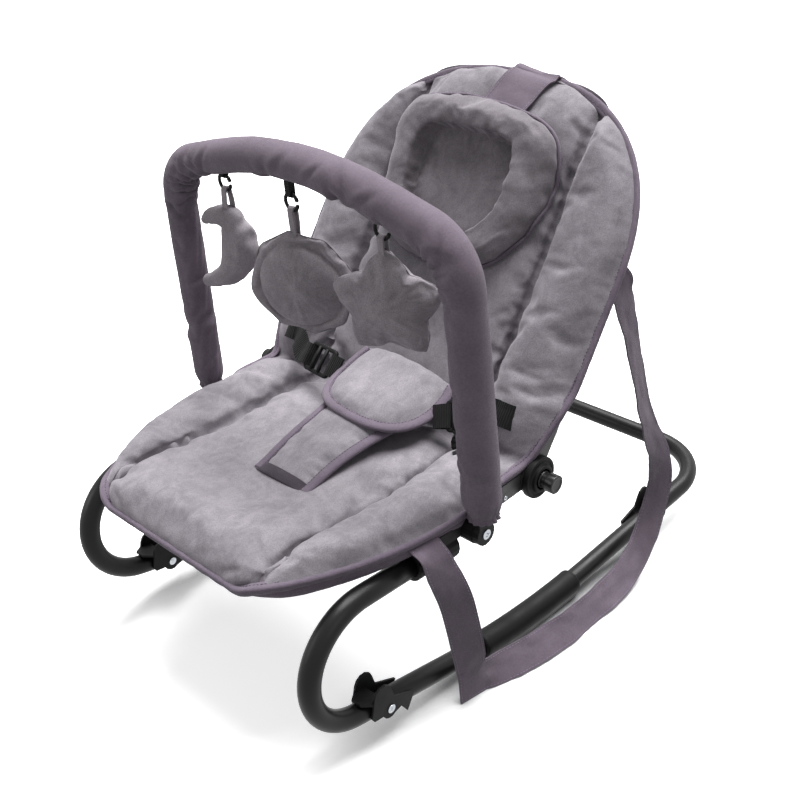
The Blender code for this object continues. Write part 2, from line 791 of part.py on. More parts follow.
def make_band():
    """The woven strap from the pillow, over the padded top edge and down behind it."""
    top = pillow_centre + pillow_half_height + 0.003
    end = back_part["pad_end"]
    lift = band_thickness / 2 + band_gap
    route = [(along, pad_heights(0, along, back_part)[1] + lift)
             for along in (top, (top + back_part["tube_end"]) / 2, back_part["tube_end"])]
    over_rim = end + gap + band_thickness / 2 + 0.0012
    behind = -frame_tube_radius - gap - band_thickness / 2 - 0.0020
    wrap = back_part["wrap"]
    route += [(wrap + 0.0010, pad_heights(0, wrap, back_part)[1] + lift),
              (over_rim, 0.0120), (over_rim, -0.0030),
              (over_rim - 0.006, behind), (over_rim - 0.040, behind)]
    points = [on_back(band_x, along, up) for along, up in route]
    flat_band("head_band", points, [(1, 0, 0)] * len(points), band_width, band_thickness, woven)


# The toy bar stands in its own plane on the pivots of the side brackets
bar_up = Vector((0, -math.sin(bar_lean), math.cos(bar_lean)))
bar_out = Vector((0, -math.cos(bar_lean), -math.sin(bar_lean)))
bar_pivot = Vector((0, bar_pivot_y, bar_pivot_z))


def on_bar(across, height, out=0.0):
    return bar_pivot + Vector((across, 0, 0)) + bar_up * height + bar_out * out


def bar_path():
    corners = [on_bar(bar_half_width, bar_foot_rise), on_bar(bar_shoulder_half_width, bar_shoulder_height),
               on_bar(0, bar_apex_height),
               on_bar(-bar_shoulder_half_width, bar_shoulder_height), on_bar(-bar_half_width, bar_foot_rise)]
    path = rounded_path(corners, [bar_corner_radius, bar_crest_radius, bar_corner_radius], [15, 6, 15])
    path.insert(1, (path[0] + path[1]) / 2)
    path.insert(-1, (path[-2] + path[-1]) / 2)
    return path


def sleeve_size(x):
    """The padded sleeve is fuller on the child's left."""
    share = smooth((x / bar_half_width + 1) / 2)
    return bar_sleeve_far_radius + (bar_sleeve_near_radius - bar_sleeve_far_radius) * share


def under_bar(x):
    """Height of the sleeve's underside in the bar's plane."""
    path = bar_path()
    for one, two in zip(path, path[1:]):
        if one.x >= x >= two.x and one.x > two.x:
            point = one.lerp(two, (one.x - x) / (one.x - two.x))
            return (point - bar_pivot).dot(bar_up) - sleeve_size(x) * math.cos(math.pi / tube_sides)
    raise ValueError("no bar above this place")


def make_toy_bar():
    path = bar_path()
    bore = bar_tube_radius - bar_tube_wall
    tube("toy_bar_tube", path, bar_tube_radius, bore, black_tube, 6, (0, 1, 0))
    cover = [path[0].lerp(path[1], 0.002)] + path[1:-1] + [path[-1].lerp(path[-2], 0.002)]
    sizes = [sleeve_size(point.x) for point in cover]
    sizes[0] *= 0.86
    sizes[-1] *= 0.86
    inside = bore_radius(bar_tube_radius, tube_sides)
    tube("toy_bar_sleeve", cover, sizes, inside, woven, tube_sides, (0, 1, 0))
    inner_x = lug_outer_x + gap
    outer_x = inner_x + tongue_thickness
    for side, sign in (("left", 1), ("right", -1)):
        ends = [bar_pivot + Vector((sign * x, 0, 0)) for x in (inner_x, outer_x)]
        foot = bar("toy_bar_foot_" + side, ends, tongue_radius, black_plastic, 16, (0, 1, 0))
        rise = bar_foot_rise - 0.0045
        half = tongue_radius * 0.72
        neck = [bar_pivot + bar_up * a + bar_out * b
                for a, b in ((0, -half), (rise, -half), (rise, half), (0, half))]
        sides = [(p.y, p.z) for p in neck]
        join(foot, extruded("neck", sides, sign * inner_x, sign * outer_x, black_plastic))
        at_tube = on_bar(sign * bar_half_width, bar_foot_rise)
        up_tube = (path[1] - path[0]).normalized()
        up_tube.x *= sign
        collar = [at_tube - up_tube * 0.0056, at_tube - up_tube * gap]
        join(foot, bar("collar", collar, bar_tube_radius, black_plastic, 16, (0, 1, 0)))
        plug = [at_tube - up_tube * 0.003, at_tube + up_tube * bar_plug_length]
        join(foot, bar("plug", plug, bore * math.cos(math.pi / 6) - gap, black_plastic, 10, (0, 1, 0)))
        hole = [bar_pivot + Vector((sign * x, 0, 0)) for x in (inner_x - 0.01, outer_x + 0.01)]
        cut(foot, bar("cutter", hole, bore_radius(pivot_pin_radius), black_plastic, bore_sides, (0, 1, 0)))
        head_x = outer_x + gap
        inside = lug_outer_x - 0.012
        pin = [(inside, 0), (inside, pivot_pin_radius), (head_x, pivot_pin_radius),
               (head_x, pin_head_radius),
               (head_x + pin_head_height * 0.6, pin_head_radius),
               (head_x + pin_head_height, pin_head_radius * 0.7), (head_x + pin_head_height, 0)]
        revolved("toy_bar_pin_" + side, [(sign * x, r) for x, r in pin], bar_pivot_y, bar_pivot_z, zinc, 12)


def make_brackets():
    """Each side bracket holds the end of a hook tube, a seat tube and a toy bar pivot."""
    for side, sign in (("left", 1), ("right", -1)):
        x = sign * rail_half_spacing
        collar_radius = bore_radius(base_tube_radius, tube_sides) + bracket_wall
        collar = [Vector((x, bracket_front_y, hook_top_z)), Vector((x, bracket_rear_y, hook_top_z))]
        bracket = bar("side_bracket_" + side, collar, collar_radius, black_plastic, 16)
        top_front = on_seat(0, hinge_y - saddle_front_y, 0)
        top_rear = on_seat(0, hinge_y - saddle_rear_y, 0)
        floor = hook_top_z + base_tube_radius + gap
        saddle = [(saddle_front_y, floor), (saddle_front_y, top_front.z), (saddle_rear_y, top_rear.z),
                  (saddle_rear_y, top_rear.z - frame_tube_radius * 1.4), (bracket_rear_y, floor)]
        saddle_x = sorted((x - saddle_half_width, x + saddle_half_width + sign * 0.0025))
        join(bracket, extruded("saddle", saddle, saddle_x[0], saddle_x[1], black_plastic))
        lug_ends = (rail_half_spacing - 0.006, lug_outer_x)
        lug = [Vector((sign * v, bar_pivot_y, bar_pivot_z)) for v in lug_ends]
        join(bracket, bar("lug", lug, bracket_lug_radius, black_plastic, 16, (0, 1, 0)))
        socket = [Vector((x, bracket_front_y - 0.01, hook_top_z)), Vector((x, hook_end_y + gap, hook_top_z))]
        cut(bracket, bar("cutter", socket, bore_radius(base_tube_radius, tube_sides), black_plastic))
        groove = [on_seat(sign * seat_tube_edge(a), a, 0) for a in seat_rows(tube_start)[1:6]]
        cut(bracket, bar("cutter", groove, bore_radius(frame_tube_radius, 12), black_plastic, 12, (0, 0, 1)))
        hole = [Vector((sign * (lug_outer_x + v), bar_pivot_y, bar_pivot_z)) for v in (-0.013, 0.01)]
        cut(bracket, bar("cutter", hole, bore_radius(pivot_pin_radius), black_plastic, bore_sides, (0, 1, 0)))


def stop_outline():
    """A stop's side wall: ear, tail and tooth round the pivot, as (along the rail, up) points."""
    points = arc_points(-0.014, 0.020, 0.0115, 180, 20, 5)
    points += [(0.003, 0.0125), (0.0325, 0.006), (0.0262, -0.0145), (0.0155, -0.004)]
    points += arc_points(0, 0, 0.0110, -40, -150, 4)
    return points + [(-0.0215, -0.0062), (-0.0255, -0.002)]


def make_stops():
    """Flip-over stops: two cheeks beside the rail, bridged by a web that the thumb pushes."""
    inner = base_tube_radius + stop_clearance
    outer = inner + stop_wall
    for end, y, turn in (("front", stop_front_y, 1), ("rear", stop_rear_y, -1)):
        slope = math.atan(front_slope if end == "front" else rear_slope)
        ahead = Vector((0, turn * math.cos(slope), -math.sin(slope)))
        above = Vector((0, turn * math.sin(slope), math.cos(slope)))
        for side, sign in (("left", 1), ("right", -1)):
            pivot = Vector((sign * rail_half_spacing, y, rail_z(y)))
            outline = [pivot + ahead * a + above * b for a, b in stop_outline()]
            yz = [(p.y, p.z) for p in outline]
            stop = extruded("stop_%s_%s" % (end, side), yz, pivot.x + inner, pivot.x + outer, black_plastic)
            other = extruded("cheek", yz, pivot.x - outer, pivot.x - inner, black_plastic)
            web_low = base_tube_radius + 0.0015
            lip = [(-outer, -0.012), (outer, -0.012), (outer, -0.0245), (0.006, -0.036), (-0.006, -0.036),
                   (-outer, -0.0245)]
            shape = bmesh.new()
            levels = []
            for up in (web_low, web_low + stop_web):
                corners = [pivot + Vector((a, 0, 0)) + ahead * b + above * up for a, b in lip]
                levels.append([shape.verts.new(corner) for corner in corners])
            shape.faces.new(levels[0])
            shape.faces.new(levels[1])
            bridge_rings(shape, levels)
            web = add_bmesh("web", shape, black_plastic)
            join(stop, web)
            join(stop, other)
            hole = [pivot + Vector((v, 0, 0)) for v in (-2 * outer, 2 * outer)]
            pin_bore = bore_radius(pivot_pin_radius)
            cut(stop, bar("cutter", hole, pin_bore, black_plastic, bore_sides, (0, 1, 0)))
            head = outer + gap
            half = [(head, pivot_pin_radius), (head, pin_head_radius),
                    (head + pin_head_height, pin_head_radius * 0.7), (head + pin_head_height, 0)]
            profile = [(-v, r) for v, r in reversed(half)] + half
            revolved("stop_pin_%s_%s" % (end, side), [(pivot.x + v, r) for v, r in profile],
                     pivot.y, pivot.z, zinc, 8)


def smooth_route(route, steps):
    """A curve through the points of a route, each a list of numbers, with steps between them."""
    made = []
    for k in range(len(route) - 1):
        before, one, two, after = (route[min(max(k + j, 0), len(route) - 1)] for j in (-1, 0, 1, 2))
        for step in range(steps):
            t = step / steps
            made.append([0.5 * (2 * b + (c - a) * t + (2 * a - 5 * b + 4 * c - d) * t ** 2
                                + (3 * b - a - 3 * c + d) * t ** 3)
                         for a, b, c, d in zip(before, one, two, after)])
    return made + [list(route[-1])]


def make_carry_strap(name, falling, along_floor):
    """A carry strap that falls from the seat, folds over at the floor and rises to the back."""
    first = smooth_route(falling, 2)
    second = smooth_route(along_floor, 2)
    fold = [falling[-1][0], falling[-1][1] + 0.0008, strap_width / 2 + 0.0007, 0, 1, 1]
    rings = first + [fold] + second
    widths = [strap_width] * len(first) + [strap_width * math.sqrt(2)] + [strap_width] * len(second)
    points = [Vector(ring[:3]) for ring in rings]
    across = [Vector(ring[3:]) for ring in rings]
    return flat_band(name, points, across, widths, strap_thickness, woven)


def make_carry_straps():
    edge_seat = on_seat(0, 0.158, 0.0030)
    edge_back = on_back(0, 0.215, 0.0030)
    seat_end = seat_tube_edge(0.158) + frame_tube_radius + 0.0020
    back_end = back_tube_half_width + frame_tube_radius + 0.0019
    fall = [(0.809, -0.7017, 0.8318 * hinge_z, 0, 1, 0),
            (0.985, -0.6413, 0.6738 * hinge_z, 0, 1, 0.1),
            (0.971, -0.5809, 0.4647 * hinge_z, 0, 1, 0.1),
            (0.912, -0.5158, 0.2788 * hinge_z, 0, 1, 0.08),
            (0.882, -0.4879, 0.1859 * hinge_z, 0, 1, 0)]
    floor = [(0.912, -0.3764, 0.506 * strap_width, -0.25, 0, 0.97),
             (1.029, -0.2742, 0.435 * strap_width, -0.55, 0, 0.83),
             (1.235, -0.0418, 0.424 * strap_width, -0.616, 0, 0.788),
             (1.338, 0.2370, 0.424 * strap_width, -0.616, 0, 0.788),
             (1.338, 0.4926, 0.424 * strap_width, -0.616, 0, 0.788),
             (1.176, 0.7481, 0.515 * strap_width, -0.6, -0.2, 0.75),
             (0.971, 0.9340, 0.1487 * hinge_z, -0.55, -0.6, 0.5),
             (0.882, 1.0409, 0.2881 * hinge_z, -0.5, -0.8, 0.25),
             (0.882, 1.0920, 0.4879 * hinge_z, -0.45, -0.88, 0.1),
             (0.912, 1.0362, 0.6877 * hinge_z, -0.1, -0.98, -0.1),
             (0.882, 0.9247, 0.8829 * hinge_z, 0.2, -0.95, -0.3),
             (0.853, 0.8411, 1.0688 * hinge_z, 0.3, -0.95, -0.3),
             (0.824, 0.7481, 1.3011 * hinge_z, 0.3, -0.95, -0.3),
             (0.824, 0.6459, 1.5428 * hinge_z, 0.25, -0.9, -0.35),
             (0.809, 0.5623, 1.7286 * hinge_z, 0.1, -0.7, -0.6),
             (0.735, 0.5321, 1.8123 * hinge_z, 0, -0.55, -0.8)]
    fall, floor = ([(rail_half_spacing + strap_width * x, hinge_y + hinge_z * y, *rest)
                    for x, y, *rest in part] for part in (fall, floor))
    falling = [(seat_end, edge_seat.y, edge_seat.z, 0.16, 1, 0.08),
               (seat_end + 0.0125, edge_seat.y + 0.0015, edge_seat.z - 0.0077, 0, 1, 0.05)] + fall
    along_floor = floor + [(back_end, edge_back.y, edge_back.z, 0, -back_along.y, -back_along.z)]
    left = make_carry_strap("carry_strap_left", falling, along_floor)
    mirrored_mesh = left.data.copy()
    mirrored_mesh.transform(Matrix.Diagonal((-1, 1, 1, 1)))
    mirrored_mesh.flip_normals()
    bpy.context.scene.collection.objects.link(bpy.data.objects.new("carry_strap_right", mirrored_mesh))


def stuffed(name, centre, outline, depth, look, shares, points):
    """A stuffed shape in the bar's plane: outline(angle, share) gives its radius."""
    shape = bmesh.new()
    faces = {1: [], -1: []}
    rim = None
    for share in shares:
        level = 0 if share == 1 else depth / 2 * (1 - share ** 3) ** 0.5
        for front in ((1, -1) if level else (1,)):
            ring = []
            for k in range(points):
                angle = 2 * math.pi * k / points
                radius = outline(angle, share)
                ring.append(shape.verts.new(centre + Vector((radius * math.sin(angle), 0, 0))
                                            + bar_up * radius * math.cos(angle) + bar_out * level * front))
            if level:
                faces[front].append(ring)
            else:
                rim = ring
    for front in (1, -1):
        rings = [rim] + faces[front]
        bridge_rings(shape, rings)
        middle = shape.verts.new(centre + bar_out * depth / 2 * front)
        for k in range(points):
            shape.faces.new((rings[-1][k], rings[-1][(k + 1) % points], middle))
    return add_bmesh(name, shape, look, 60)


def sun_outline(angle, share):
    return share * sun_radius + sun_petal * math.cos(sun_petals * angle) * share ** 5


def star_outline(angle, share):
    """Five soft points."""
    step = 2 * math.pi / 5
    away = abs((angle + step / 2) % step - step / 2) / (step / 2)
    point = (1 - away) ** 1.35
    valley = star_inner_radius + (star_radius - star_inner_radius) * point
    return share * (valley * share + (star_radius + star_inner_radius) / 2 * (1 - share))


def make_moon(name, top):
    """A stuffed crescent that tapers to both tips; top is where its tag is sewn on."""
    spine = [(-0.441, -0.181, 0.034), (-0.384, -0.160, 0.070), (-0.147, -0.127, 0.124),
             (0.068, -0.305, 0.186),
             (0.102, -0.565, 0.217), (0.023, -0.791, 0.194), (-0.203, -0.955, 0.141), (-0.486, -1.000, 0.099),
             (-0.565, -0.989, 0.045)]
    rings = smooth_route([[moon_height * share for share in one] for one in spine], 2)
    points = [top + Vector((x, 0, 0)) + bar_up * height for x, height, _ in rings]
    return bar(name, points, [radius for _, _, radius in rings], plush, 10, (0, 1, 0))


def loop_band(name, x, inner_height, leg, opening, side, look):
    """A U of tape round the toy hook's wire: side is 1 with its legs up, -1 with its legs down."""
    reach = opening + tape_thickness / 2
    arc = arc_points(0, 0, reach, 180, 360, 6)
    route = [(-reach, leg)] + arc + [(reach, leg)]
    points = [on_bar(x, inner_height + side * (height + opening), out) for out, height in route]
    return flat_band(name, points, [(1, 0, 0)] * len(points), tape_width, tape_thickness, look)


def make_toys():
    """Three stuffed toys, each on a plastic hook that hangs in a loop of tape under the bar.

    Returns the point each hook swings about.
    """
    opening = toy_hook_wire + 0.0010
    inner_radius = toy_hook_radius - toy_hook_wire
    arch = inner_radius - math.sqrt(inner_radius ** 2 - (tape_width / 2) ** 2) + 2 * gap
    toys = {"moon": (-0.5494, 0.588, 3.0), "sun": (-0.0675, 2.176, 3.059), "star": (0.5060, 0.541, 1.341)}
    swings = {}
    for name, shares in toys.items():
        x = bar_half_width * shares[0]
        drop, tag = (toy_hook_radius * share for share in shares[1:])
        sleeve = min(under_bar(x + tape_width * share) for share in (-0.5, 0, 0.5))
        inner_height = sleeve - 2.5 * gap - drop
        loop_band("toy_tape_" + name, x, inner_height, drop - opening, opening, 1, webbing)
        ring_height = inner_height + arch + toy_hook_wire - toy_hook_radius
        ring = []
        for k in range(14):
            angle = math.radians(20 + 320 * k / 13)
            ring.append(on_bar(x + toy_hook_radius * math.cos(angle),
                               ring_height + toy_hook_radius * math.sin(angle)))
        swings[name] = on_bar(x, ring_height + toy_hook_radius)
        bar("toy_hook_" + name, ring, toy_hook_wire, black_plastic, 6, (0, 1, 0))
        tag_height = ring_height - toy_hook_radius + toy_hook_wire + arch
        toy_top = tag_height - tag
        top = on_bar(x, toy_top)
        if name == "moon":
            toy = make_moon("toy_moon", top)
            sink = 0.008
        elif name == "sun":
            middle = top - bar_up * (sun_radius + sun_petal)
            levels = (1, 0.95, 0.87, 0.68, 0.4)
            toy = stuffed("toy_sun", middle, sun_outline, toy_thickness, plush, levels, 36)
            sink = 0.006
        else:
            middle = top - bar_up * star_radius
            levels = (1, 0.95, 0.85, 0.65, 0.35)
            toy = stuffed("toy_star", middle, star_outline, toy_thickness, plush, levels, 30)
            sink = 0.012
        join(toy, loop_band("tag", x, tag_height, tag - opening + sink, opening, -1, plush))
    return swings


# The harness lies along a spine from the seat's front up to the waist: x, y and z as shares of
# the hinge's height (y from the hinge), and a turn about Z
harness_route = [(0.1022, -0.8806, 1.0107, 0), (0.1022, -0.8132, 1.0455, 1), (0.1022, -0.7156, 1.0897, 3),
                 (0.1022, -0.5994, 1.1292, 6), (0.1069, -0.4693, 1.1664, 10), (0.1115, -0.3439, 1.1989, 14),
                 (0.1115, -0.2184, 1.2314, 18), (0.1069, -0.0976, 1.2686, 20), (0.1022, 0.0139, 1.3104, 22)]
harness_spine = [(hinge_z * x, hinge_y + hinge_z * y, hinge_z * z, turn) for x, y, z, turn in harness_route]


def on_harness(row, across, up):
    """A point on the harness: row counts along the spine, and may lie between two of its points."""
    low = min(int(row), len(harness_spine) - 2)
    share = row - low
    x, y, z, turn = (a + (b - a) * share for a, b in zip(harness_spine[low], harness_spine[low + 1]))
    ahead = Vector(harness_spine[min(low + 2, len(harness_spine) - 1)][:3])
    behind = Vector(harness_spine[max(low - 1, 0)][:3])
    tangent = (ahead - behind).normalized()
    wide = Vector((math.cos(math.radians(turn)), math.sin(math.radians(turn)), 0))
    wide = (wide - tangent * wide.dot(tangent)).normalized()
    normal = wide.cross(tangent)
    bend = 2.4 * smooth(row / 5)
    return Vector((x, y, z)) + wide * across + normal * (up - bend * across ** 2)


def make_harness_pads():
    low, high = [], []
    widths = [crotch_half_width * share for share in (1.000, 1.000, 1.013, 1.052, 1.117, 1.221, 1.325, 1.377)]
    for row, half in enumerate(widths):
        xs = [half * share for share in (-1, -0.85, -0.45, 0, 0.45, 0.85, 1)]
        levels = [crotch_thickness / 2 * (1 - (x / half) ** 4) + harness_rim for x in xs]
        lifts = [(0.0020 if row == 0 else 0.0) + (0.03 * abs(x) if row < 2 else 0) for x in xs]
        low.append([on_harness(row, x, lift - level * 0.6) for x, level, lift in zip(xs, levels, lifts)])
        high.append([on_harness(row, x, lift + level) for x, level, lift in zip(xs, levels, lifts)])
    quilt("crotch_pad", low, high, plush)
    low, high = [], []
    clear = crotch_thickness / 2 + harness_rim + 3 * gap
    for k in range(9):
        row = 4.05 + 3.75 * k / 8
        across = (k / 8 - 0.62) / 0.62
        if k < 5:
            share = max(0.02, 1 - abs(across) ** 2.6) ** 0.42
        else:
            share = 1 - 0.10 * ((k - 5) / 3) ** 2
        half = waist_half_width * max(share, 0.42)
        xs = [half * share for share in (-1, -0.88, -0.5, 0, 0.5, 0.88, 1)]
        edge = 0.35 if k in (0, 8) else 1.0
        levels = [waist_thickness * (0.35 + 0.65 * edge * (1 - (x / half) ** 4)) for x in xs]
        low.append([on_harness(row, x, clear) for x in xs])
        high.append([on_harness(row, x, clear + level) for x, level in zip(xs, levels)])
    quilt("waist_pad", low, high, plush)


def on_back_surface(x, along, above):
    return on_back(x, along, pad_heights(x, along, back_part)[1] + above)


def buckle(name, start, end, wide, slot_share):
    """A flat plastic buckle between two points, with a slot for the webbing."""
    along = (end - start).normalized()
    wide = (wide - along * wide.dot(along)).normalized()
    up = along.cross(wide)
    length = (end - start).length
    shape = bmesh.new()
    levels = []
    for height, shrink in ((-0.5, 0.0012), (-0.3, 0), (0.3, 0), (0.5, 0.0012)):
        ring = []
        for a, b in ((0, -1), (1, -1), (1, 1), (0, 1)):
            edge = (length - 2 * shrink) * a + shrink
            ring.append(shape.verts.new(start + along * edge + wide * (buckle_width / 2 - shrink) * b
                                        + up * buckle_thickness * height))
        levels.append(ring)
    bridge_rings(shape, levels)
    shape.faces.new(levels[0])
    shape.faces.new(levels[-1])
    made = add_bmesh(name, shape, black_plastic)
    for share in slot_share:
        slot = [start + along * (length * share - 0.0022), start + along * (length * share + 0.0022)]
        cut(made, flat_band("cutter", slot, [wide, wide], webbing_width + 0.002, buckle_thickness * 3,
                            black_plastic))
    return made


def make_webbing():
    """Lap webbing from the slots in the back pad, through a buckle, to the waist pad's ends."""
    wide = Vector((0, 0.6, 0.8))
    loose = 0.0005
    slot_x = back_tube_half_width - webbing_slot_inset
    for side, sign, shares, long, lift in (("left", 1, (0.5901, -0.0929, 1.2407), 0.8235, 0.0020),
                                           ("right", -1, (-0.6180, -0.1348, 1.2314), 1.4118, 0.0021)):
        aim = Vector((hinge_z * shares[0], hinge_y + hinge_z * shares[1], hinge_z * shares[2]))
        waist_end = on_harness(6.2, sign * (waist_half_width + 0.002), 0.0100)
        run = (waist_end - aim).normalized()
        near = waist_end - run * 0.0110
        far = near - run * buckle_width * long
        slot_side = [on_back_surface(sign * (slot_x - webbing_width * back), 0.046, lift)
                     for back in (0, 0.4, 0.8)]
        middle = slot_side[-1].lerp(far, 0.3) + Vector((0, -0.005, 0.002))
        points = slot_side + [middle] + [far - run * back for back in (0.009, 0.0045, loose)]
        across = [back_along] * 4 + [wide] * 3
        flat_band("webbing_" + side, points, across, webbing_width, webbing_thickness, webbing)
        buckle("buckle_" + side, far, near, wide, (0.2, 0.8))
        flat_band("waist_webbing_" + side, [near + run * loose, waist_end], [wide] * 2, webbing_width,
                  webbing_thickness, webbing)
        if side == "left":
            down = (run * wide.dot(run) - wide).normalized()
            start = far.lerp(near, 0.5) + down * (buckle_width / 2 + 2 * loose)
            tail = [start, start + down * 0.003, start + Vector((0.001, -0.005, -0.007)),
                    start + Vector((0.001, -0.009, -0.010))]
            flat_band("webbing_end_left", tail, [run] * 4, webbing_width * 0.9, webbing_thickness, webbing)


def move_origin(made, place):
    """Move an object's origin to a place and leave its shape where it is."""
    made.data.transform(Matrix.Translation(-place))
    made.location = place


def hang(axis_name, place, pieces, parent=None):
    """An empty on a joint's axis carries the pieces that move with it."""
    axis = bpy.data.objects.new(axis_name, None)
    bpy.context.scene.collection.objects.link(axis)
    axis.empty_display_size = 0.03
    axis.location = place
    if parent:
        axis.parent = parent
        axis.location = place - parent.location
    for name in pieces:
        piece = bpy.data.objects[name]
        piece.data.transform(Matrix.Translation(-place))
        piece.parent = axis
    return axis


def set_origins(swings):
    """Moving pieces get their joint's axis as origin or parent, fixed ones their own middle."""
    sides = ("left", "right")
    hang("recline_axis", hinge, ["back_frame_tube", "back_sling", "back_pad", "head_pillow", "head_band"]
         + ["hinge_plate_upper_" + side for side in sides])
    bar_axis = hang("toy_bar_axis", bar_pivot, ["toy_bar_tube", "toy_bar_sleeve"]
                    + ["toy_bar_foot_" + side for side in sides] + ["toy_tape_" + name for name in swings])
    for name, place in swings.items():
        hang("swing_axis_" + name, place, ["toy_hook_" + name, "toy_" + name], bar_axis)
    for side, sign in (("left", 1), ("right", -1)):
        move_origin(bpy.data.objects["recline_button_" + side], hinge + Vector((sign * housing_face_x, 0, 0)))
        for end, y in (("front", stop_front_y), ("rear", stop_rear_y)):
            pivot = Vector((sign * rail_half_spacing, y, rail_z(y)))
            for piece in ("stop_", "stop_pin_"):
                move_origin(bpy.data.objects[piece + end + "_" + side], pivot)
    for made in bpy.data.objects:
        if made.type == "MESH" and not made.parent and made.location.length < tiny:
            corners = [Vector(corner) for corner in made.bound_box]
            move_origin(made, (corners[0] + corners[6]) / 2)


make_base()
make_frames()
make_hinges()
make_sling("seat_sling", seat_part)
make_sling("back_sling", back_part)
make_pad("seat_pad", seat_part)
make_pad("back_pad", back_part)
make_pillow()
make_band()
make_toy_bar()
make_brackets()
make_stops()
make_carry_straps()
make_harness_pads()
make_webbing()
set_origins(make_toys())
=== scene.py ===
import json
import math

import bmesh
import bpy
import numpy as np
from mathutils import Matrix, Vector, noise
from mathutils.bvhtree import BVHTree

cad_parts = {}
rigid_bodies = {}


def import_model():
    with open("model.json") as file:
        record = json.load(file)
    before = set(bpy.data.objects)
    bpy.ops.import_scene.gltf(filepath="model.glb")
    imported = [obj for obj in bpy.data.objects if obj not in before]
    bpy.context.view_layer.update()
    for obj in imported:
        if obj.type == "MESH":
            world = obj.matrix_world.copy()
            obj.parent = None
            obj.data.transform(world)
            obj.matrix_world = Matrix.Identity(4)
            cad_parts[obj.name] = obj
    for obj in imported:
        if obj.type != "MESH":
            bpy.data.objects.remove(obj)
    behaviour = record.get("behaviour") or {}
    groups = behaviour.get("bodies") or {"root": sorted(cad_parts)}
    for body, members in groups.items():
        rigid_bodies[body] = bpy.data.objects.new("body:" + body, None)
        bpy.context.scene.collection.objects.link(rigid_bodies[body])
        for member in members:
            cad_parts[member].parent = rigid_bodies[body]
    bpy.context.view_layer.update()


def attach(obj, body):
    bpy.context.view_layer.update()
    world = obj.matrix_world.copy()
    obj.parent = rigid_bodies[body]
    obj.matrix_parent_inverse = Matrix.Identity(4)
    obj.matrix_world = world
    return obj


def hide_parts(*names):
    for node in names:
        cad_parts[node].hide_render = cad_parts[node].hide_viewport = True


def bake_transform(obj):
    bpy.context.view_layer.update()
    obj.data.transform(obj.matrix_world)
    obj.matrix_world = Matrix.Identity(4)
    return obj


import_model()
print("stage: frame loaded")

scene = bpy.context.scene
scene.view_settings.view_transform = "Standard"


# Camera, floor and light

view = {"eye": (0.7593, -0.8529, 0.7959), "forward": (-0.6131, 0.6444, -0.4571), "lens": 50}
camera = bpy.data.objects.new("camera", bpy.data.cameras.new("camera"))
scene.collection.objects.link(camera)
camera.data.lens = view["lens"]
camera.data.sensor_width = 36
camera.data.clip_end = 60
camera.location = view["eye"]
camera.rotation_euler = Vector(view["forward"]).to_track_quat("-Z", "Y").to_euler()
scene.camera = camera


def srgb(code):
    parts = [int(code[k:k + 2], 16) / 255 for k in (0, 2, 4)]
    return tuple(p / 12.92 if p <= 0.04045 else ((p + 0.055) / 1.055) ** 2.4 for p in parts) + (1.0,)


def addNode(tree, kind, inputs=(), output=0, **settings):
    made = tree.nodes.new("ShaderNode" + kind)
    for name, value in settings.items():
        setattr(made, name, value)
    for name, value in inputs.items() if isinstance(inputs, dict) else enumerate(inputs):
        if isinstance(value, bpy.types.NodeSocket):
            tree.links.new(value, made.inputs[name])
        else:
            made.inputs[name].default_value = value
    return made.outputs[output] if len(made.outputs) else made


def newLook(name, colour, **sockets):
    look = bpy.data.materials.new(name)
    look.use_nodes = True
    look.diffuse_color = srgb(colour)
    tree = look.node_tree
    shader = tree.nodes["Principled BSDF"]
    shader.inputs["Base Color"].default_value = srgb(colour)
    for key, value in sockets.items():
        shader.inputs[key.replace("_", " ")].default_value = value
    return look, tree, shader


lights = {"room": 0.38, "behind": 1.0,
          "sun": {"strength": 7.3, "angle": 50, "towards": (0.08, -0.3, -1.0)},
          "lamps": [("fill", (-1.3, -2.1, 1.0), 1.4, 12), ("near", (2.1, -0.6, 1.3), 1.2, 4)],
          "aim": (0, 0, 0.22),
          # the floor's dark colour is its painted contact shadow; shade is how near the object must be for it
          "floor": {"reach": 5.0, "level": -0.0002, "shade": 0.07, "dark": "8e8e90", "light": "fafafa"}}


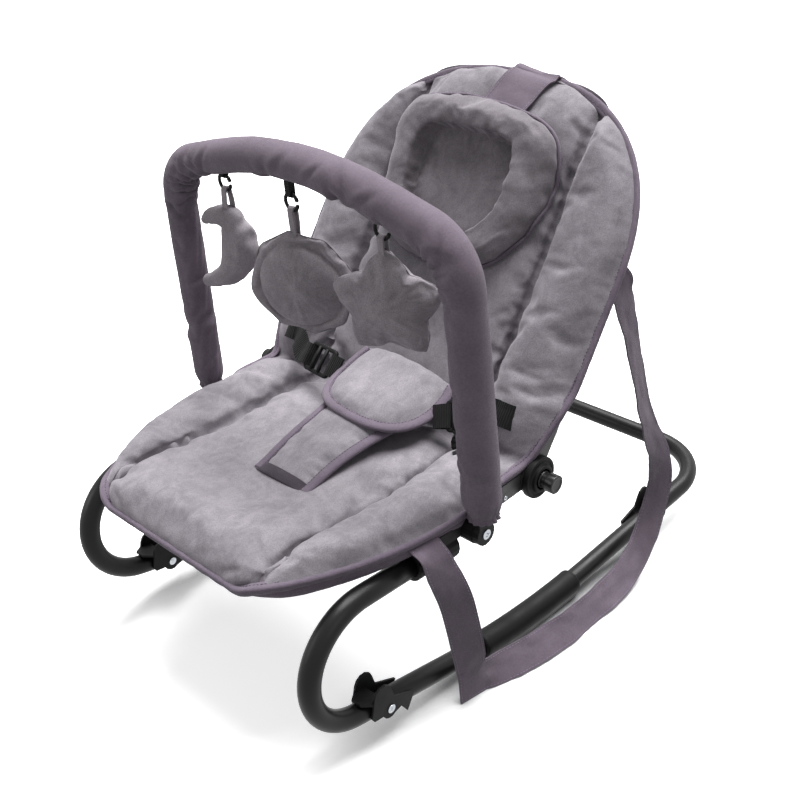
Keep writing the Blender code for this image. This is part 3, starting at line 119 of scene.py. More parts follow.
def makeStudio():
    world = bpy.data.worlds.new("studio")
    scene.world = world
    world.use_nodes = True
    tree = world.node_tree
    tree.nodes.clear()
    # the camera, metal and glass see the pale background, everything else is lit by the room
    seen = addNode(tree, "LightPath", output="Is Camera Ray")
    for ray in ("Is Glossy Ray", "Is Transmission Ray"):
        seen = addNode(tree, "Math", [seen, addNode(tree, "LightPath", output=ray)], operation="MAXIMUM")
    room = addNode(tree, "Background", {"Color": srgb("f1f1f3"), "Strength": lights["room"]})
    white = addNode(tree, "Background", {"Color": (1, 1, 1, 1), "Strength": lights["behind"]})
    addNode(tree, "OutputWorld", {"Surface": addNode(tree, "MixShader", [seen, room, white])})
    facts = lights["sun"]
    sky = bpy.data.lights.new("ceiling", "SUN")
    sky.energy, sky.angle = facts["strength"], math.radians(facts["angle"])
    ceiling = bpy.data.objects.new("ceiling", sky)
    ceiling.rotation_euler = Vector(facts["towards"]).to_track_quat("-Z", "Y").to_euler()
    scene.collection.objects.link(ceiling)
    for name, spot, size, power in lights["lamps"]:
        lamp = bpy.data.lights.new(name, "AREA")
        lamp.shape, lamp.size, lamp.energy = "DISK", size, power
        made = bpy.data.objects.new(name, lamp)
        made.location = spot
        made.rotation_euler = (Vector(lights["aim"]) - Vector(spot)).to_track_quat("-Z", "Y").to_euler()
        scene.collection.objects.link(made)
    facts = lights["floor"]
    reach = facts["reach"]
    mesh = bpy.data.meshes.new("floor")
    mesh.from_pydata([(-reach, -reach, 0), (reach, -reach, 0), (reach, reach, 0), (-reach, reach, 0)], [],
                     [(0, 1, 2, 3)])
    floor = bpy.data.objects.new("floor", mesh)
    floor.location.z = facts["level"]
    scene.collection.objects.link(floor)
    look, tree, shader = newLook("floor", facts["light"], Roughness=0.75, Specular_IOR_Level=0.15,
                                 Emission_Color=(1, 1, 1, 1))
    # pale everywhere, with painted shadow: grey only where the object stands close to it, as ambient occlusion
    # darkens the colour and dims the glow
    near = addNode(tree, "AmbientOcclusion", {"Distance": facts["shade"]}, "AO", samples=8)
    clear = addNode(tree, "MapRange", [near, 0.25, 0.92, 0, 1])
    dark, light = srgb(facts["dark"]), srgb(facts["light"])
    colour = addNode(tree, "Mix", {0: clear, 6: dark, 7: light}, 2, data_type="RGBA")
    # painted shadow: the glow that keeps the floor white fades near the object
    glowDimmedByPaintedShadow = addNode(tree, "Math", [clear, 2.2], operation="POWER")
    glowDimmedByPaintedShadow = addNode(tree, "Math", [glowDimmedByPaintedShadow, 0.55], operation="MULTIPLY")
    tree.links.new(colour, shader.inputs["Base Color"])
    tree.links.new(glowDimmedByPaintedShadow, shader.inputs["Emission Strength"])
    floor.visible_diffuse = floor.visible_glossy = False
    mesh.materials.append(look)


makeStudio()
print("stage: camera and light")


# Materials. Sizes of patterns and depths of bumps are in millimetres.

cloths = {
    # Brushed polyester plush, its pile combed by hand: no highlight but a pale bloom where the cloth turns
    # away, patches of lighter and darker pile, and small dents. The pile is drawn at 1 mm, as its real
    # 0.2 mm is too fine to show.
    "plush": {"sockets": {"Roughness": 0.95, "Specular_IOR_Level": 0.08, "Sheen_Weight": 0.42,
                          "Sheen_Roughness": 0.38, "Sheen_Tint": srgb("dcd6de")},
              # size, detail, roughness, distortion, stretch
              "fields": {"patches": (34, 4, 0.55, 0.8, (1, 1, 1)), "strokes": (13, 3, 0.6, 1.4, (1, 0.55, 0.8)),
                         "grain": (1.1, 2, 0.7, 0, (1, 1, 1)), "dents": (7.5, 3, 0.55, 0.6, (1, 1, 1)),
                         "pile": (0.85, 2, 0.75, 0, (1, 1, 1))},
              "tone": [("patches", 0.34, 0.68, 0, 0.6), ("strokes", 0.3, 0.72, 0, 0.4)],
              "deep": ("grain", 0.34, 0.6, 0.34, 0), "bumps": [("dents", 0.55, 0.7), ("pile", 0.4, 0.55)]},
    # Plain-woven polyester canvas, dyed in the piece: dull, with a faint grid of threads, uneven yarn and
    # soft creases. The threads are drawn at about 0.5 mm, as their real 0.3 mm is too fine to show.
    "canvas": {"sockets": {"Roughness": 0.78, "Specular_IOR_Level": 0.25, "Sheen_Weight": 0.1,
                           "Sheen_Roughness": 0.5},
               "fields": {"shade": (42, 3, 0.5, 0.4, (1, 1, 1)), "slub": (2.2, 3, 0.65, 0, (1, 1, 1)),
                          "crease": (16, 2, 0.5, 0.5, (1, 1, 1))},
               "tone": [("shade", 0.3, 0.7, 0, 0.6), ("slub", 0.35, 0.65, 0, 0.4)],
               # deep darkens the hollows of the weave, where its bump is low: painted shade
               "deep": ("weave", -1, 1, 0.22, 0), "bumps": [("crease", 0.5, 0.5), ("weave", 0.12, 0.6)]}}


def makeCloth(name, kind, light, dark, deep="2c2632", pitch=None):
    facts = cloths[kind]
    look, tree, shader = newLook(name, light, **facts["sockets"])
    at = addNode(tree, "TexCoord", output="Object")
    field = {}
    if pitch:
        split = addNode(tree, "SeparateXYZ", [addNode(tree, "UVMap", uv_map="cloth")]).node.outputs
        threads = []
        for axis in (split[0], split[1]):
            turn = addNode(tree, "Math", [axis, 2 * math.pi * 1000 / pitch], operation="MULTIPLY")
            threads.append(addNode(tree, "Math", [turn], operation="SINE"))
        field["weave"] = addNode(tree, "Math", threads, operation="MULTIPLY")
    for key, (size, detail, rough, bent, stretch) in facts["fields"].items():
        vector = addNode(tree, "Mapping", {"Vector": at, "Scale": stretch})
        field[key] = addNode(tree, "TexNoise", {"Vector": vector, "Scale": 1000 / size, "Detail": detail,
                                                "Roughness": rough, "Distortion": bent})
    share, grainSpecksAndWeaveShade = [addNode(tree, "MapRange", [field[key], *span]) for key, *span in facts["tone"]], facts["deep"]
    share = addNode(tree, "Math", share, operation="ADD")
    colour = addNode(tree, "Mix", {0: share, 6: srgb(dark), 7: srgb(light)}, 2, data_type="RGBA")
    # the deep colour goes where the mask field is low: darker specks at the plush's fine grain, and painted
    # shade in the hollows of the canvas weave
    grainSpecksAndWeaveShade = addNode(tree, "MapRange", [field[grainSpecksAndWeaveShade[0]], *grainSpecksAndWeaveShade[1:]])
    colour = addNode(tree, "Mix", {0: grainSpecksAndWeaveShade, 6: colour, 7: srgb(deep)}, 2, data_type="RGBA")
    tree.links.new(colour, shader.inputs["Base Color"])
    before = {}
    for key, depth, strength in facts["bumps"]:
        before["Normal"] = addNode(tree, "Bump", {"Height": field[key], "Distance": depth / 1000,
                                                  "Strength": strength, **before})
    tree.links.new(before["Normal"], shader.inputs["Normal"])
    return look


def makeWebbing():
    # Ribbed polypropylene webbing, woven black: its colour is painted lighter on the ribs across it and darker
    # between them, a painted highlight and shade, and nothing shines.
    # The fibres between them are drawn at 0.9 mm, as the real ones are too fine to show.
    look, tree, shader = newLook("webbing", "101011", Roughness=0.8, Specular_IOR_Level=0.18, Sheen_Weight=0.03)
    split = addNode(tree, "SeparateXYZ", [addNode(tree, "UVMap", uv_map="cloth")]).node.outputs
    waves = []
    for axis, size in ((split[1], 2.4), (split[0], 0.9)):
        turn = addNode(tree, "Math", [axis, 2 * math.pi * 1000 / size], operation="MULTIPLY")
        waves.append(addNode(tree, "Math", [turn], operation="SINE"))
    ribs, fibres = waves
    # painted highlight on the ribs and painted shade between them, following the bump
    share = addNode(tree, "MapRange", [ribs, -1, 1, 0, 1])
    colour = addNode(tree, "Mix", {0: share, 6: srgb("060607"), 7: srgb("1a1a1b")}, 2, data_type="RGBA")
    tree.links.new(colour, shader.inputs["Base Color"])
    bump = addNode(tree, "Bump", {"Height": ribs, "Distance": 0.45 / 1000, "Strength": 0.8})
    bump = addNode(tree, "Bump", {"Height": fibres, "Distance": 0.1 / 1000, "Strength": 0.5, "Normal": bump})
    tree.links.new(bump, shader.inputs["Normal"])
    return look


def makeHard(name, colour, roughness, metallic, grain, depth, paintedEdgeHighlight, specular=0.5, coat=0.0):
    # A hard surface with a fine grain, a shine that varies a little over it, and paler edges, a painted
    # highlight
    look, tree, shader = newLook(name, colour, Metallic=metallic, Specular_IOR_Level=specular, Coat_Weight=coat,
                                 Coat_Roughness=0.25)
    at = addNode(tree, "TexCoord", output="Object")
    fine, wide = (addNode(tree, "TexNoise", {"Vector": at, "Scale": 1000 / size, "Detail": detail,
                                             "Roughness": rough, "Distortion": bent})
                  for size, detail, rough, bent in ((grain, 2, 0.6, 0), (30, 3, 0.5, 0.3)))
    shine = addNode(tree, "MapRange", [wide, 0.3, 0.7, roughness - 0.07, roughness + 0.07])
    tree.links.new(shine, shader.inputs["Roughness"])
    # painted highlight: convex edges are coloured paler
    edge = addNode(tree, "MapRange", [addNode(tree, "NewGeometry", output="Pointiness"), 0.53, 0.62, 0, 1])
    share = addNode(tree, "Math", [edge, addNode(tree, "MapRange", [fine, 0.35, 0.65, 0.2, 1])],
                    operation="MULTIPLY")
    paintedEdgeColour = addNode(tree, "Mix", {0: share, 6: srgb(colour), 7: srgb(paintedEdgeHighlight)}, 2, data_type="RGBA")
    tree.links.new(paintedEdgeColour, shader.inputs["Base Color"])
    bump = addNode(tree, "Bump", {"Height": fine, "Distance": depth / 1000, "Strength": 0.5})
    tree.links.new(bump, shader.inputs["Normal"])
    return look


plush = makeCloth("plush", "plush", "99949a", "777379", "484549")
toyPlush = makeCloth("toy_plush", "plush", "a59fa4", "837e83", "474448")
# a darker copy of the plush: painted shade on the head pillow, and the dark seams of the toys
pillowShadeAndSeamPlush = makeCloth("dark_plush", "plush", "868186", "6a666a", "3d3a3f")
woven = makeCloth("woven_cloth", "canvas", "776b78", "5f5560", pitch=0.55)
wovenEdge = makeCloth("woven_edge", "canvas", "786d7a", "605663", pitch=0.45)  # folded tape of the same canvas
# the canvas darkened: painted shade, for the tab where the crotch pad turns down into its slot
wovenShade = makeCloth("woven_shade", "canvas", "433b45", "352e37", pitch=0.5)
# twisted polyester sewing thread: the same, in a finer pattern
threadLook = makeCloth("thread", "canvas", "a297aa", "8a7f92", pitch=0.4)
darkThread = makeCloth("dark_thread", "canvas", "4c4353", "3c3442", pitch=0.4)
webbing = makeWebbing()
# powder-coated steel tube: satin black with an orange peel, drawn at 0.9 mm, as its 0.3 mm is too fine to show
coating = makeHard("tube_coating", "0f0e0f", 0.36, 0.0, 0.9, 0.03, "201f20", 0.22, 0.02)
# nylon from a spark-eroded mould: matt black with a fine grain
plastic = makeHard("black_plastic", "0f0f10", 0.52, 0.0, 0.6, 0.05, "222223", 0.15)
# ABS from a polished mould: the button's tighter highlights
gloss = makeHard("button_plastic", "151516", 0.3, 0.0, 0.8, 0.02, "2a2a2b", 0.36)
# dip-painted steel sheet: dark, half metallic, paler on its edges, a painted highlight
steel = makeHard("hinge_steel", "2f2e2f", 0.42, 0.35, 0.5, 0.03, "6b6a6a", 0.5)
# bright zinc plate on steel pins: silver with small sharp highlights
zinc = makeHard("zinc", "c9cdd2", 0.24, 1.0, 0.5, 0.02, "e3e6ea", 0.5)
print("stage: materials")


# Shape helpers

def addMesh(name, points, faces, look, corners=None, smooth=True):
    mesh = bpy.data.meshes.new(name)
    mesh.from_pydata([tuple(p) for p in points], [], faces)
    if corners:
        layer = mesh.uv_layers.new(name="cloth")
        layer.data.foreach_set("uv", [value for corner in corners for value in corner])
    if smooth:
        mesh.shade_smooth()
    mesh.update()
    made = bpy.data.objects.new(name, mesh)
    scene.collection.objects.link(made)
    mesh.materials.append(look)
    return made


def runLengths(points):
    total, lengths = 0.0, [0.0]
    for one, two in zip(points, points[1:]):
        total += (Vector(two) - Vector(one)).length
        lengths.append(total)
    return lengths


# A skin over rows of points. Its map is in metres along the rows and across them, for the weave.
def gridPiece(name, rows, look, wrap=False, ends=False, flip=False):
    count, width = len(rows), len(rows[0])
    across = width if wrap else width - 1
    along = runLengths([row[width // 2] for row in rows])
    sides = [runLengths(list(row) + ([row[0]] if wrap else [])) for row in rows]
    points = [p for row in rows for p in row]
    faces, corners = [], []
    for i in range(count - 1):
        for j in range(across):
            k = (j + 1) % width
            face = [(i, j, j), (i, k, j + 1), (i + 1, k, j + 1), (i + 1, j, j)]
            if flip:
                face.reverse()
            faces.append([a * width + b for a, b, _ in face])
            corners += [(sides[a][c], along[a]) for a, _, c in face]
    if ends:
        for row, backwards in ((0, not flip), (count - 1, flip)):
            centre = sum((Vector(p) for p in rows[row]), Vector()) / width
            points.append(centre)
            for j in range(across):
                k = (j + 1) % width
                face = [row * width + j, row * width + k, len(points) - 1]
                if backwards:
                    face.reverse()
                faces.append(face)
                corners += [(0, 0)] * 3
    return addMesh(name, points, faces, look, corners)


# Point, direction, side and other side at each place of a path, without twist
def pathFrames(points, firstSide):
    made, side, last = [], Vector(firstSide), len(points) - 1
    for index, point in enumerate(points):
        ahead, behind = points[min(index + 1, last)], points[max(index - 1, 0)]
        tangent = (ahead - behind).normalized()
        side = (side - tangent * side.dot(tangent)).normalized()
        made.append((point, tangent, side, tangent.cross(side)))
    return made


# A round along a path; shape(angle, run) gives its folds
def sweep(name, points, radius, look, sides=28, firstSide=(1, 0, 0), ends="flat", shape=None):
    rings = []
    framed = pathFrames(points, firstSide)
    lengths = runLengths(points)
    for index, (point, tangent, side, other) in enumerate(framed):
        here = radius[index] if isinstance(radius, (list, tuple)) else radius
        ring = []
        for k in range(sides):
            angle = 2 * math.pi * k / sides
            reach = here * (shape(angle, lengths[index]) if shape else 1)
            ring.append(point + (side * math.cos(angle) + other * math.sin(angle)) * reach)
        rings.append(ring)
    if ends == "round":
        for index, sign in ((0, -1), (-1, 1)):
            point, tangent, side, other = framed[index]
            here = radius[index] if isinstance(radius, (list, tuple)) else radius
            extra = []
            for step in (1, 2, 3):
                tilt = math.radians(step * 27)
                base = rings[index] if index == 0 else rings[len(framed) - 1]
                extra.append([point + (p - point) * math.cos(tilt) + tangent * (sign * here * math.sin(tilt))
                              for p in base])
            if index == 0:
                first = list(reversed(extra))
            else:
                last = extra
        rings = first + rings + last
    return gridPiece(name, rings, look, wrap=True, ends=ends != "open", flip=True)


# Straight runs with arcs of the given radii at the inner corners
def roundedPath(corners, radii, step=5):
    points = [Vector(corners[0])]
    for index in range(1, len(corners) - 1):
        before, here, after = (Vector(corners[index + k]) for k in (-1, 0, 1))
        radius = radii[index - 1]
        arrive, leave = (here - before).normalized(), (after - here).normalized()
        turn = arrive.angle(leave)
        if radius <= 0 or turn < 1e-4:
            points.append(here)
            continue
        start = here - arrive * (radius * math.tan(turn / 2))
        axis = arrive.cross(leave).normalized()
        centre = start + axis.cross(arrive) * radius
        count = max(2, round(math.degrees(turn) / step))
        for k in range(count + 1):
            points.append(centre + Matrix.Rotation(turn * k / count, 3, axis) @ (start - centre))
    points.append(Vector(corners[-1]))
    return points


def curveThrough(route, steps):
    made = []
    for k in range(len(route) - 1):
        before, one, two, after = (route[min(max(k + j, 0), len(route) - 1)] for j in (-1, 0, 1, 2))
        for step in range(steps):
            t = step / steps
            made.append([0.5 * (2 * b + (c - a) * t + (2 * a - 5 * b + 4 * c - d) * t ** 2
                                + (3 * b - a - 3 * c + d) * t ** 3)
                         for a, b, c, d in zip(before, one, two, after)])
    return made + [list(route[-1])]


# The same path with even steps
def evenly(points, spacing, closed=False):
    loop = list(points) + ([points[0]] if closed else [])
    lengths = runLengths(loop)
    count = max(3, round(lengths[-1] / spacing))
    made, index = [], 0
    for k in range(count if closed else count + 1):
        target = lengths[-1] * k / count
        while index < len(lengths) - 2 and lengths[index + 1] < target:
            index += 1
        span = lengths[index + 1] - lengths[index]
        share = (target - lengths[index]) / span if span > 0 else 0
        made.append(Vector(loop[index]).lerp(Vector(loop[index + 1]), min(1, share)))
    return made


def ease(t):
    t = min(1.0, max(0.0, t))
    return t * t * (3 - 2 * t)


def ruffle(*place):
    return noise.noise(Vector((place + (0.0, 0.0, 0.0))[:3]))


def crease(limit, gain, *place):
    return max(-1.0, min(limit, gain * ruffle(*place)))


def thicken(made, amount, offset=-1.0):
    solid = made.modifiers.new("thickness", "SOLIDIFY")
    solid.thickness, solid.offset = amount, offset
    return made


def applyModifiers(made):
    graph = bpy.context.evaluated_depsgraph_get()
    mesh = bpy.data.meshes.new_from_object(made.evaluated_get(graph))
    made.modifiers.clear()
    made.data = mesh
    return made


def joinPieces(name, pieces):
    bpy.ops.object.select_all(action="DESELECT")
    for piece in pieces:
        piece.select_set(True)
    bpy.context.view_layer.objects.active = pieces[0]
    bpy.ops.object.join()
    pieces[0].name = name
    return pieces[0]


def tidy(made, gap=0.00002):
    shape = bmesh.new()
    shape.from_mesh(made.data)
    if gap:
        bmesh.ops.remove_doubles(shape, verts=shape.verts, dist=gap)
    bmesh.ops.recalc_face_normals(shape, faces=shape.faces)
    shape.to_mesh(made.data)
    shape.free()


def smoothed(made):
    finer = made.modifiers.new("smooth", "SUBSURF")
    finer.levels = finer.render_levels = 1
    applyModifiers(made)
    made.data.shade_smooth()


def mount(made, body, slot, *nodes):
    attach(made, body)
    if nodes:
        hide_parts(*nodes)


# Single stitches along a line, as short beads that dip into the cloth at both ends
def stitches(name, points, normals, look, length=0.003, space=0.0018, radius=0.00035, zigzag=0.0):
    verts, faces, corners = [], [], []
    lengths = runLengths(points)
    total = lengths[-1]
    count = max(1, round(total / (length + space)))
    for k in range(count):
        low, high = k / count, (k + length / (length + space)) / count
        ends = []
        for share in (low, high):
            spot = share * total
            index = max(i for i in range(len(lengths)) if lengths[i] <= spot + 1e-9)
            index = min(index, len(points) - 2)
            part = (spot - lengths[index]) / max(1e-9, lengths[index + 1] - lengths[index])
            ends.append((points[index].lerp(points[index + 1], part),
                         normals[index].lerp(normals[index + 1], part).normalized()))
        (one, upOne), (two, _) = ends
        along = (two - one).normalized()
        wide = along.cross(upOne).normalized()
        if zigzag:
            shift = zigzag * (1 if k % 2 else -1)
            one, two = one - wide * shift, two + wide * shift
            along = (two - one).normalized()
            wide = along.cross(upOne).normalized()
        start = len(verts)
        for share, rise, size in ((0, -0.6, 0.5), (0.25, 0.35, 1), (0.75, 0.35, 1), (1, -0.6, 0.5)):
            point = one.lerp(two, share) + upOne * (radius * rise)
            for angle in (0, 1, 2, 3, 4):
                turn = 2 * math.pi * angle / 5
                verts.append(point + wide * (math.cos(turn) * radius * size * 1.3)
                             + upOne * (math.sin(turn) * radius * size))
        for ring in range(3):
            for angle in range(5):
                a, b = start + ring * 5 + angle, start + ring * 5 + (angle + 1) % 5
                faces.append([a, b, b + 5, a + 5])
                corners += [(0, 0), (0.001, 0), (0.001, 0.001), (0, 0.001)]
    return addMesh(name, verts, faces, look, corners)


# Planes of the seat and the back

hinge = Vector((0, -0.061, 0.2152))
seatSlope, backAngle = math.radians(4.37), math.radians(58.8)
seatForm = {"length": 0.3125, "half": 0.191, "taper": 0.072, "taperFrom": 0.08, "power": 2.4}
backForm = {"length": 0.3985, "half": 0.2078, "shoulder": 0.2, "power": 2.4, "tubePower": 2.2}
seatAlong = Vector((0, -math.cos(seatSlope), -math.sin(seatSlope)))
seatUp = Vector((0, -math.sin(seatSlope), math.cos(seatSlope)))
backAlong = Vector((0, math.cos(backAngle), math.sin(backAngle)))
backUp = Vector((0, -math.sin(backAngle), math.cos(backAngle)))
foldTilt = 1 / math.tan(seatAlong.angle(backAlong) / 2)


def onSeat(x, along, up):
    return hinge + Vector((x, 0, 0)) + seatAlong * along + seatUp * up


def onBack(x, along, up):
    return hinge + Vector((x, 0, 0)) + backAlong * along + backUp * up


def acrossHinge(piece):
    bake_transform(piece)


def seatEdge(along, inset=0.0, corner=0.02):
    taper = max(0.0, (along - seatForm["taperFrom"]) / (seatForm["length"] - seatForm["taperFrom"]))
    half = seatForm["half"] - inset - seatForm["taper"] * taper ** seatForm["power"]
    over = along - (seatForm["length"] - inset - corner)
    if over > 0:
        half -= corner - math.sqrt(max(0.0, corner ** 2 - over ** 2))
    return half


def backEdge(along, inset=0.0):
    over = (along - backForm["shoulder"]) / (backForm["length"] - inset - backForm["shoulder"])
    power = backForm["tubePower"] if inset else backForm["power"]
    share = 1 if over <= 0 else max(0.0, 1 - over ** power) ** (1 / power)
    return (backForm["half"] - inset) * share


# Base tubes

base = {"radius": 0.011, "railHalf": 0.176, "arc": 0.9, "lowestY": -0.021, "frontArc": 0.142,
        "rearArc": 0.09, "hookFrontY": -0.357, "hookBend": 0.067, "hookEndY": -0.18, "crossbarY": 0.3619,
        "rearBend": 0.08, "buttY": -0.036, "sleeve": 0.0145, "sleeveFront": -0.118, "sleeveRear": 0.048}


def railZ(y):
    frontY, rearY = base["lowestY"] - base["frontArc"], base["lowestY"] + base["rearArc"]
    if y < frontY:
        return railZ(frontY) + (frontY - y) * base["frontArc"] / base["arc"]
    if y > rearY:
        return railZ(rearY) + (y - rearY) * base["rearArc"] / base["arc"]
    return base["sleeve"] + (y - base["lowestY"]) ** 2 / (2 * base["arc"])


def hookPath(x):
    tilt = math.atan(base["frontArc"] / base["arc"])
    centreY = base["hookFrontY"] + base["hookBend"]
    startY = centreY - base["hookBend"] * math.sin(tilt)
    centreZ = railZ(startY) + base["hookBend"] * math.cos(tilt)
    ys = [base["buttY"] - 0.0003 + (startY - base["buttY"]) * k / 26 for k in range(26)]
    points = [Vector((x, y, railZ(y))) for y in ys]
    for k in range(41):
        angle = math.radians(-90 - math.degrees(tilt) + (-180 + math.degrees(tilt)) * k / 40)
        points.append(Vector((x, centreY + base["hookBend"] * math.cos(angle),
                              centreZ + base["hookBend"] * math.sin(angle))))
    points.append(Vector((x, base["hookEndY"], centreZ + base["hookBend"])))
    return points


def rearPath():
    half, rearArcY = base["railHalf"], base["lowestY"] + base["rearArc"]
    left = [Vector((half, y, railZ(y))) for y in
            [base["buttY"] + 0.0003 + (rearArcY - base["buttY"]) * k / 10 for k in range(10)]]
    cross = base["crossbarY"]
    corners = [left[-1], Vector((half, rearArcY, railZ(rearArcY))), Vector((half, cross, railZ(cross))),
               Vector((-half, cross, railZ(cross))), Vector((-half, rearArcY, railZ(rearArcY))),
               Vector((-half, left[-1].y, left[-1].z))]
    bend = roundedPath(corners, [0, base["rearBend"], base["rearBend"], 0], 4)
    return left[:-1] + bend + [Vector((-p.x, p.y, p.z)) for p in reversed(left[:-1])]


def makeBase():
    for side, sign in (("left", 1), ("right", -1)):
        x = sign * base["railHalf"]
        tube = sweep("hook_tube_" + side + "_look", hookPath(x), base["radius"], coating, 36)
        mount(tube, "base", "tube_coating", "hook_tube_" + side)
        front, rear = base["sleeveFront"], base["sleeveRear"]
        bead = ((0.0, 0.0116), (0.0, 0.0136), (0.0008, 0.01445), (0.0022, 0.0148))  # rounded end and raised bead
        profile = [(front + run, size) for run, size in bead]
        profile += [(front + 0.0022 + (rear - front - 0.0044) * k / 30, base["sleeve"]) for k in range(1, 30)]
        profile += [(rear - run, size) for run, size in reversed(bead)]
        path = [Vector((x, y + 1e-6 * k, railZ(y) + 0.0001)) for k, (y, _) in enumerate(profile)]
        sleeve = sweep("rail_sleeve_" + side + "_look", path, [size for _, size in profile], plastic, 40,
                       (1, 0, 0), "open")
        # the sleeve is moulded flat below, where it stands on the floor
        for vertex in sleeve.data.vertices:
            spot = vertex.co
            below = railZ(spot.y) - spot.z
            if below > 0.0095 and math.hypot(below, spot.x - x) > 0.0133:
                away = max(0, abs(spot.y + 0.065) - 0.025)
                ends = max(0, 1 - min(spot.y - front, rear - spot.y) / 0.004)
                spot.z = away ** 2 / 3.0 + 0.0001 + 0.0018 * ends ** 2
        mount(sleeve, "base", "black_plastic", "rail_sleeve_" + side)
    rear = sweep("rear_tube_look", rearPath(), base["radius"], coating, 36)
    mount(rear, "base", "tube_coating", "rear_tube")


makeBase()
print("stage: base tubes")

# Padded cover: one quilted sheet over seat and back, swelled by cloth simulation

pad = {"middle": 50, "side": 20, "under": 5, "lip": 4, "seatRows": 70, "backRows": 88, "noseRows": 6,
       "nose": 0.016, "rim": 0.006, "sag": 0.016, "hem": 0.0095, "slingTop": 0.0083, "start": 0.012,
       "cap": 0.0065, "frames": 20, "stretch": -0.05, "pressure": 2.0, "pucker": 0.003, "seam": 0.118,
       "seat": {"length": seatForm["length"], "tubeEnd": 0.3015, "inset": 0.011, "bend": 0.034,
                "arm": 0.062, "roll": 0.052, "middleCrown": 0.013, "sideCrown": 0.0195},
       "back": {"length": backForm["length"], "tubeEnd": 0.3735, "inset": 0.025, "bend": 0,
                "arm": 0.068, "roll": 0.085, "middleCrown": 0.015, "sideCrown": 0.0215},
       # the cloth's way round the edge and under it: down from the edge, inward from it
       "turnUnder": [(0.003, -0.0004), (0.0062, 0.002), (0.0066, 0.0075), (0.0064, 0.015),
                     (0.006, 0.023)],
       "turnEnd": [(0.0056, 0.001), (0.0066, 0.007), (0.0064, 0.015), (0.006, 0.023)]}


def padEdges(along, part):
    facts = pad[part]
    if part == "seat":
        outer = seatEdge(along) - 0.001 * max(0, 1 - along / facts["arm"])
        return seatEdge(min(along, facts["tubeEnd"]), facts["inset"], facts["bend"]), outer
    outer = backEdge(along) - 0.0187 * max(0, 1 - along / facts["arm"])
    return backEdge(min(along, facts["tubeEnd"] - 0.0002), facts["inset"]), outer


def seamPlace(along, part):
    return max(0.004, min(pad["seam"], padEdges(along, part)[1] * 0.965))


def slingLevel(x, along, part):
    # top of the sling over the plane of the tubes, sagging between them
    inner = padEdges(along, part)[0] - pad["hem"]
    room = pad[part]["tubeEnd"] - pad["hem"] - along
    level = pad["slingTop"]
    if abs(x) < inner and room > 0:
        level -= pad["sag"] * (1 - (x / inner) ** 2) ** 2 * ease(room / 0.09)
    return level


def padLevel(x, along, part):
    # top of the pad at rest, and the level that its edge is sewn at
    facts = pad[part]
    tube, outer = padEdges(along, part)
    seam = seamPlace(along, part)
    level = slingLevel(x, along, part)
    level += 0.0028 + pad["rim"]
    past = ease((along - facts["arm"] - 0.004) / 0.02)
    edge = pad["rim"] + 0.0127 + (0.005 - 0.0127) * past
    if abs(x) > tube:
        level += (edge - level) * ease((abs(x) - tube) / max(1e-5, outer - tube))
    if part == "seat":
        edge -= 0.0095 * ease((along - 0.215) / 0.095)
    roll = max(0.0, min(1.0, (facts["length"] - along) / facts["roll"]))
    rise = math.sqrt(1 - (1 - roll) ** 2) * (0.45 + 0.55 * ease((along - 0.011) / 0.035))
    if abs(x) <= seam:
        crown = facts["middleCrown"] * max(0.0, 1 - (x / seam) ** 4) ** 0.58
        crown *= 1 + (0.36 * ease((along - 0.1) / 0.08) if part == "back" else 0)
    else:
        share = min(1.0, (abs(x) - seam) / (outer - seam))
        crown = facts["sideCrown"] * max(0.0, math.sin(math.pi * share ** 0.72)) ** (0.55 + 0.4 * share)
        crown *= ease((outer - seam) / 0.05) ** 0.7
    if part == "back":
        crown *= 1 - 0.6 * ease((along - 0.325) / 0.03) * ease((0.046 - abs(x - 0.021)) / 0.012)
    return level + crown * rise * 0.9, edge


# One row of the sheet from edge to edge, with the cloth that is turned under
def padRow(along, part, nose=None):
    place = onSeat if part == "seat" else onBack
    facts = pad[part]
    outer = padEdges(along, part)[1]
    seam = seamPlace(along, part)
    half = [seam * (1 - (1 - 2 * k / pad["middle"]) ** 1.5) for k in range(pad["middle"] // 2 + 1)]
    half += [seam + (outer - seam) * (0.5 - 0.5 * math.cos(math.pi * k / pad["side"]))
             for k in range(1, pad["side"] + 1)]
    row = []
    for x in [-v for v in reversed(half[1:])] + half:
        level, edge = padLevel(x, along, part)
        if nose is not None:
            top, edge = padLevel(x * 0.98, facts["length"] - pad["nose"], part)
            level = edge + (min(level, top) - edge) * math.cos(nose)
        row.append((x, along, level))
    edge = row[-1][2]
    under = []
    slope = (padEdges(along + 0.0003, part)[1] - padEdges(along - 0.0003, part)[1]) / 0.0006
    away = math.atan(max(-12, min(0.4, slope)))
    for drop, inward in pad["turnUnder"]:
        under.append((outer - inward * math.cos(away), along + inward * math.sin(away), edge - drop))
    return [place(-x, a, h) for x, a, h in reversed(under)] + [place(*spot) for spot in row] \
        + [place(*spot) for spot in under]


def padSheet():
    halves = {}
    for part in ("seat", "back"):
        facts = pad[part]
        nose = facts["length"] - pad["nose"]
        count = pad[part + "Rows"]
        alongs = [pad["start"] + (nose - pad["start"]) * k / count for k in range(count + 1)]
        rows = [padRow(along, part) for along in alongs]
        for k in range(1, pad["noseRows"] + 1):
            turn = math.pi / 2 * k / pad["noseRows"]
            along = nose + (pad["nose"] - 0.0006) * math.sin(turn)
            rows.append(padRow(along, part, turn))
        up, place = (seatUp, onSeat) if part == "seat" else (backUp, onBack)
        first = []
        for point in rows[0]:
            level = (point - hinge).dot(up)
            first.append(place(point.x, foldTilt * level, level))
        rows[0] = first
        back, end = seatAlong if part == "seat" else backAlong, rows[-1]
        for drop, inward in pad["turnEnd"]:
            rows.append([point - up * drop * (1 if pad["under"] <= k < len(end) - pad["under"] else 0.05)
                         - back * inward for k, point in enumerate(end)])
        halves[part] = rows
    return list(reversed(halves["seat"])) + halves["back"][1:], len(halves["seat"]) - 1


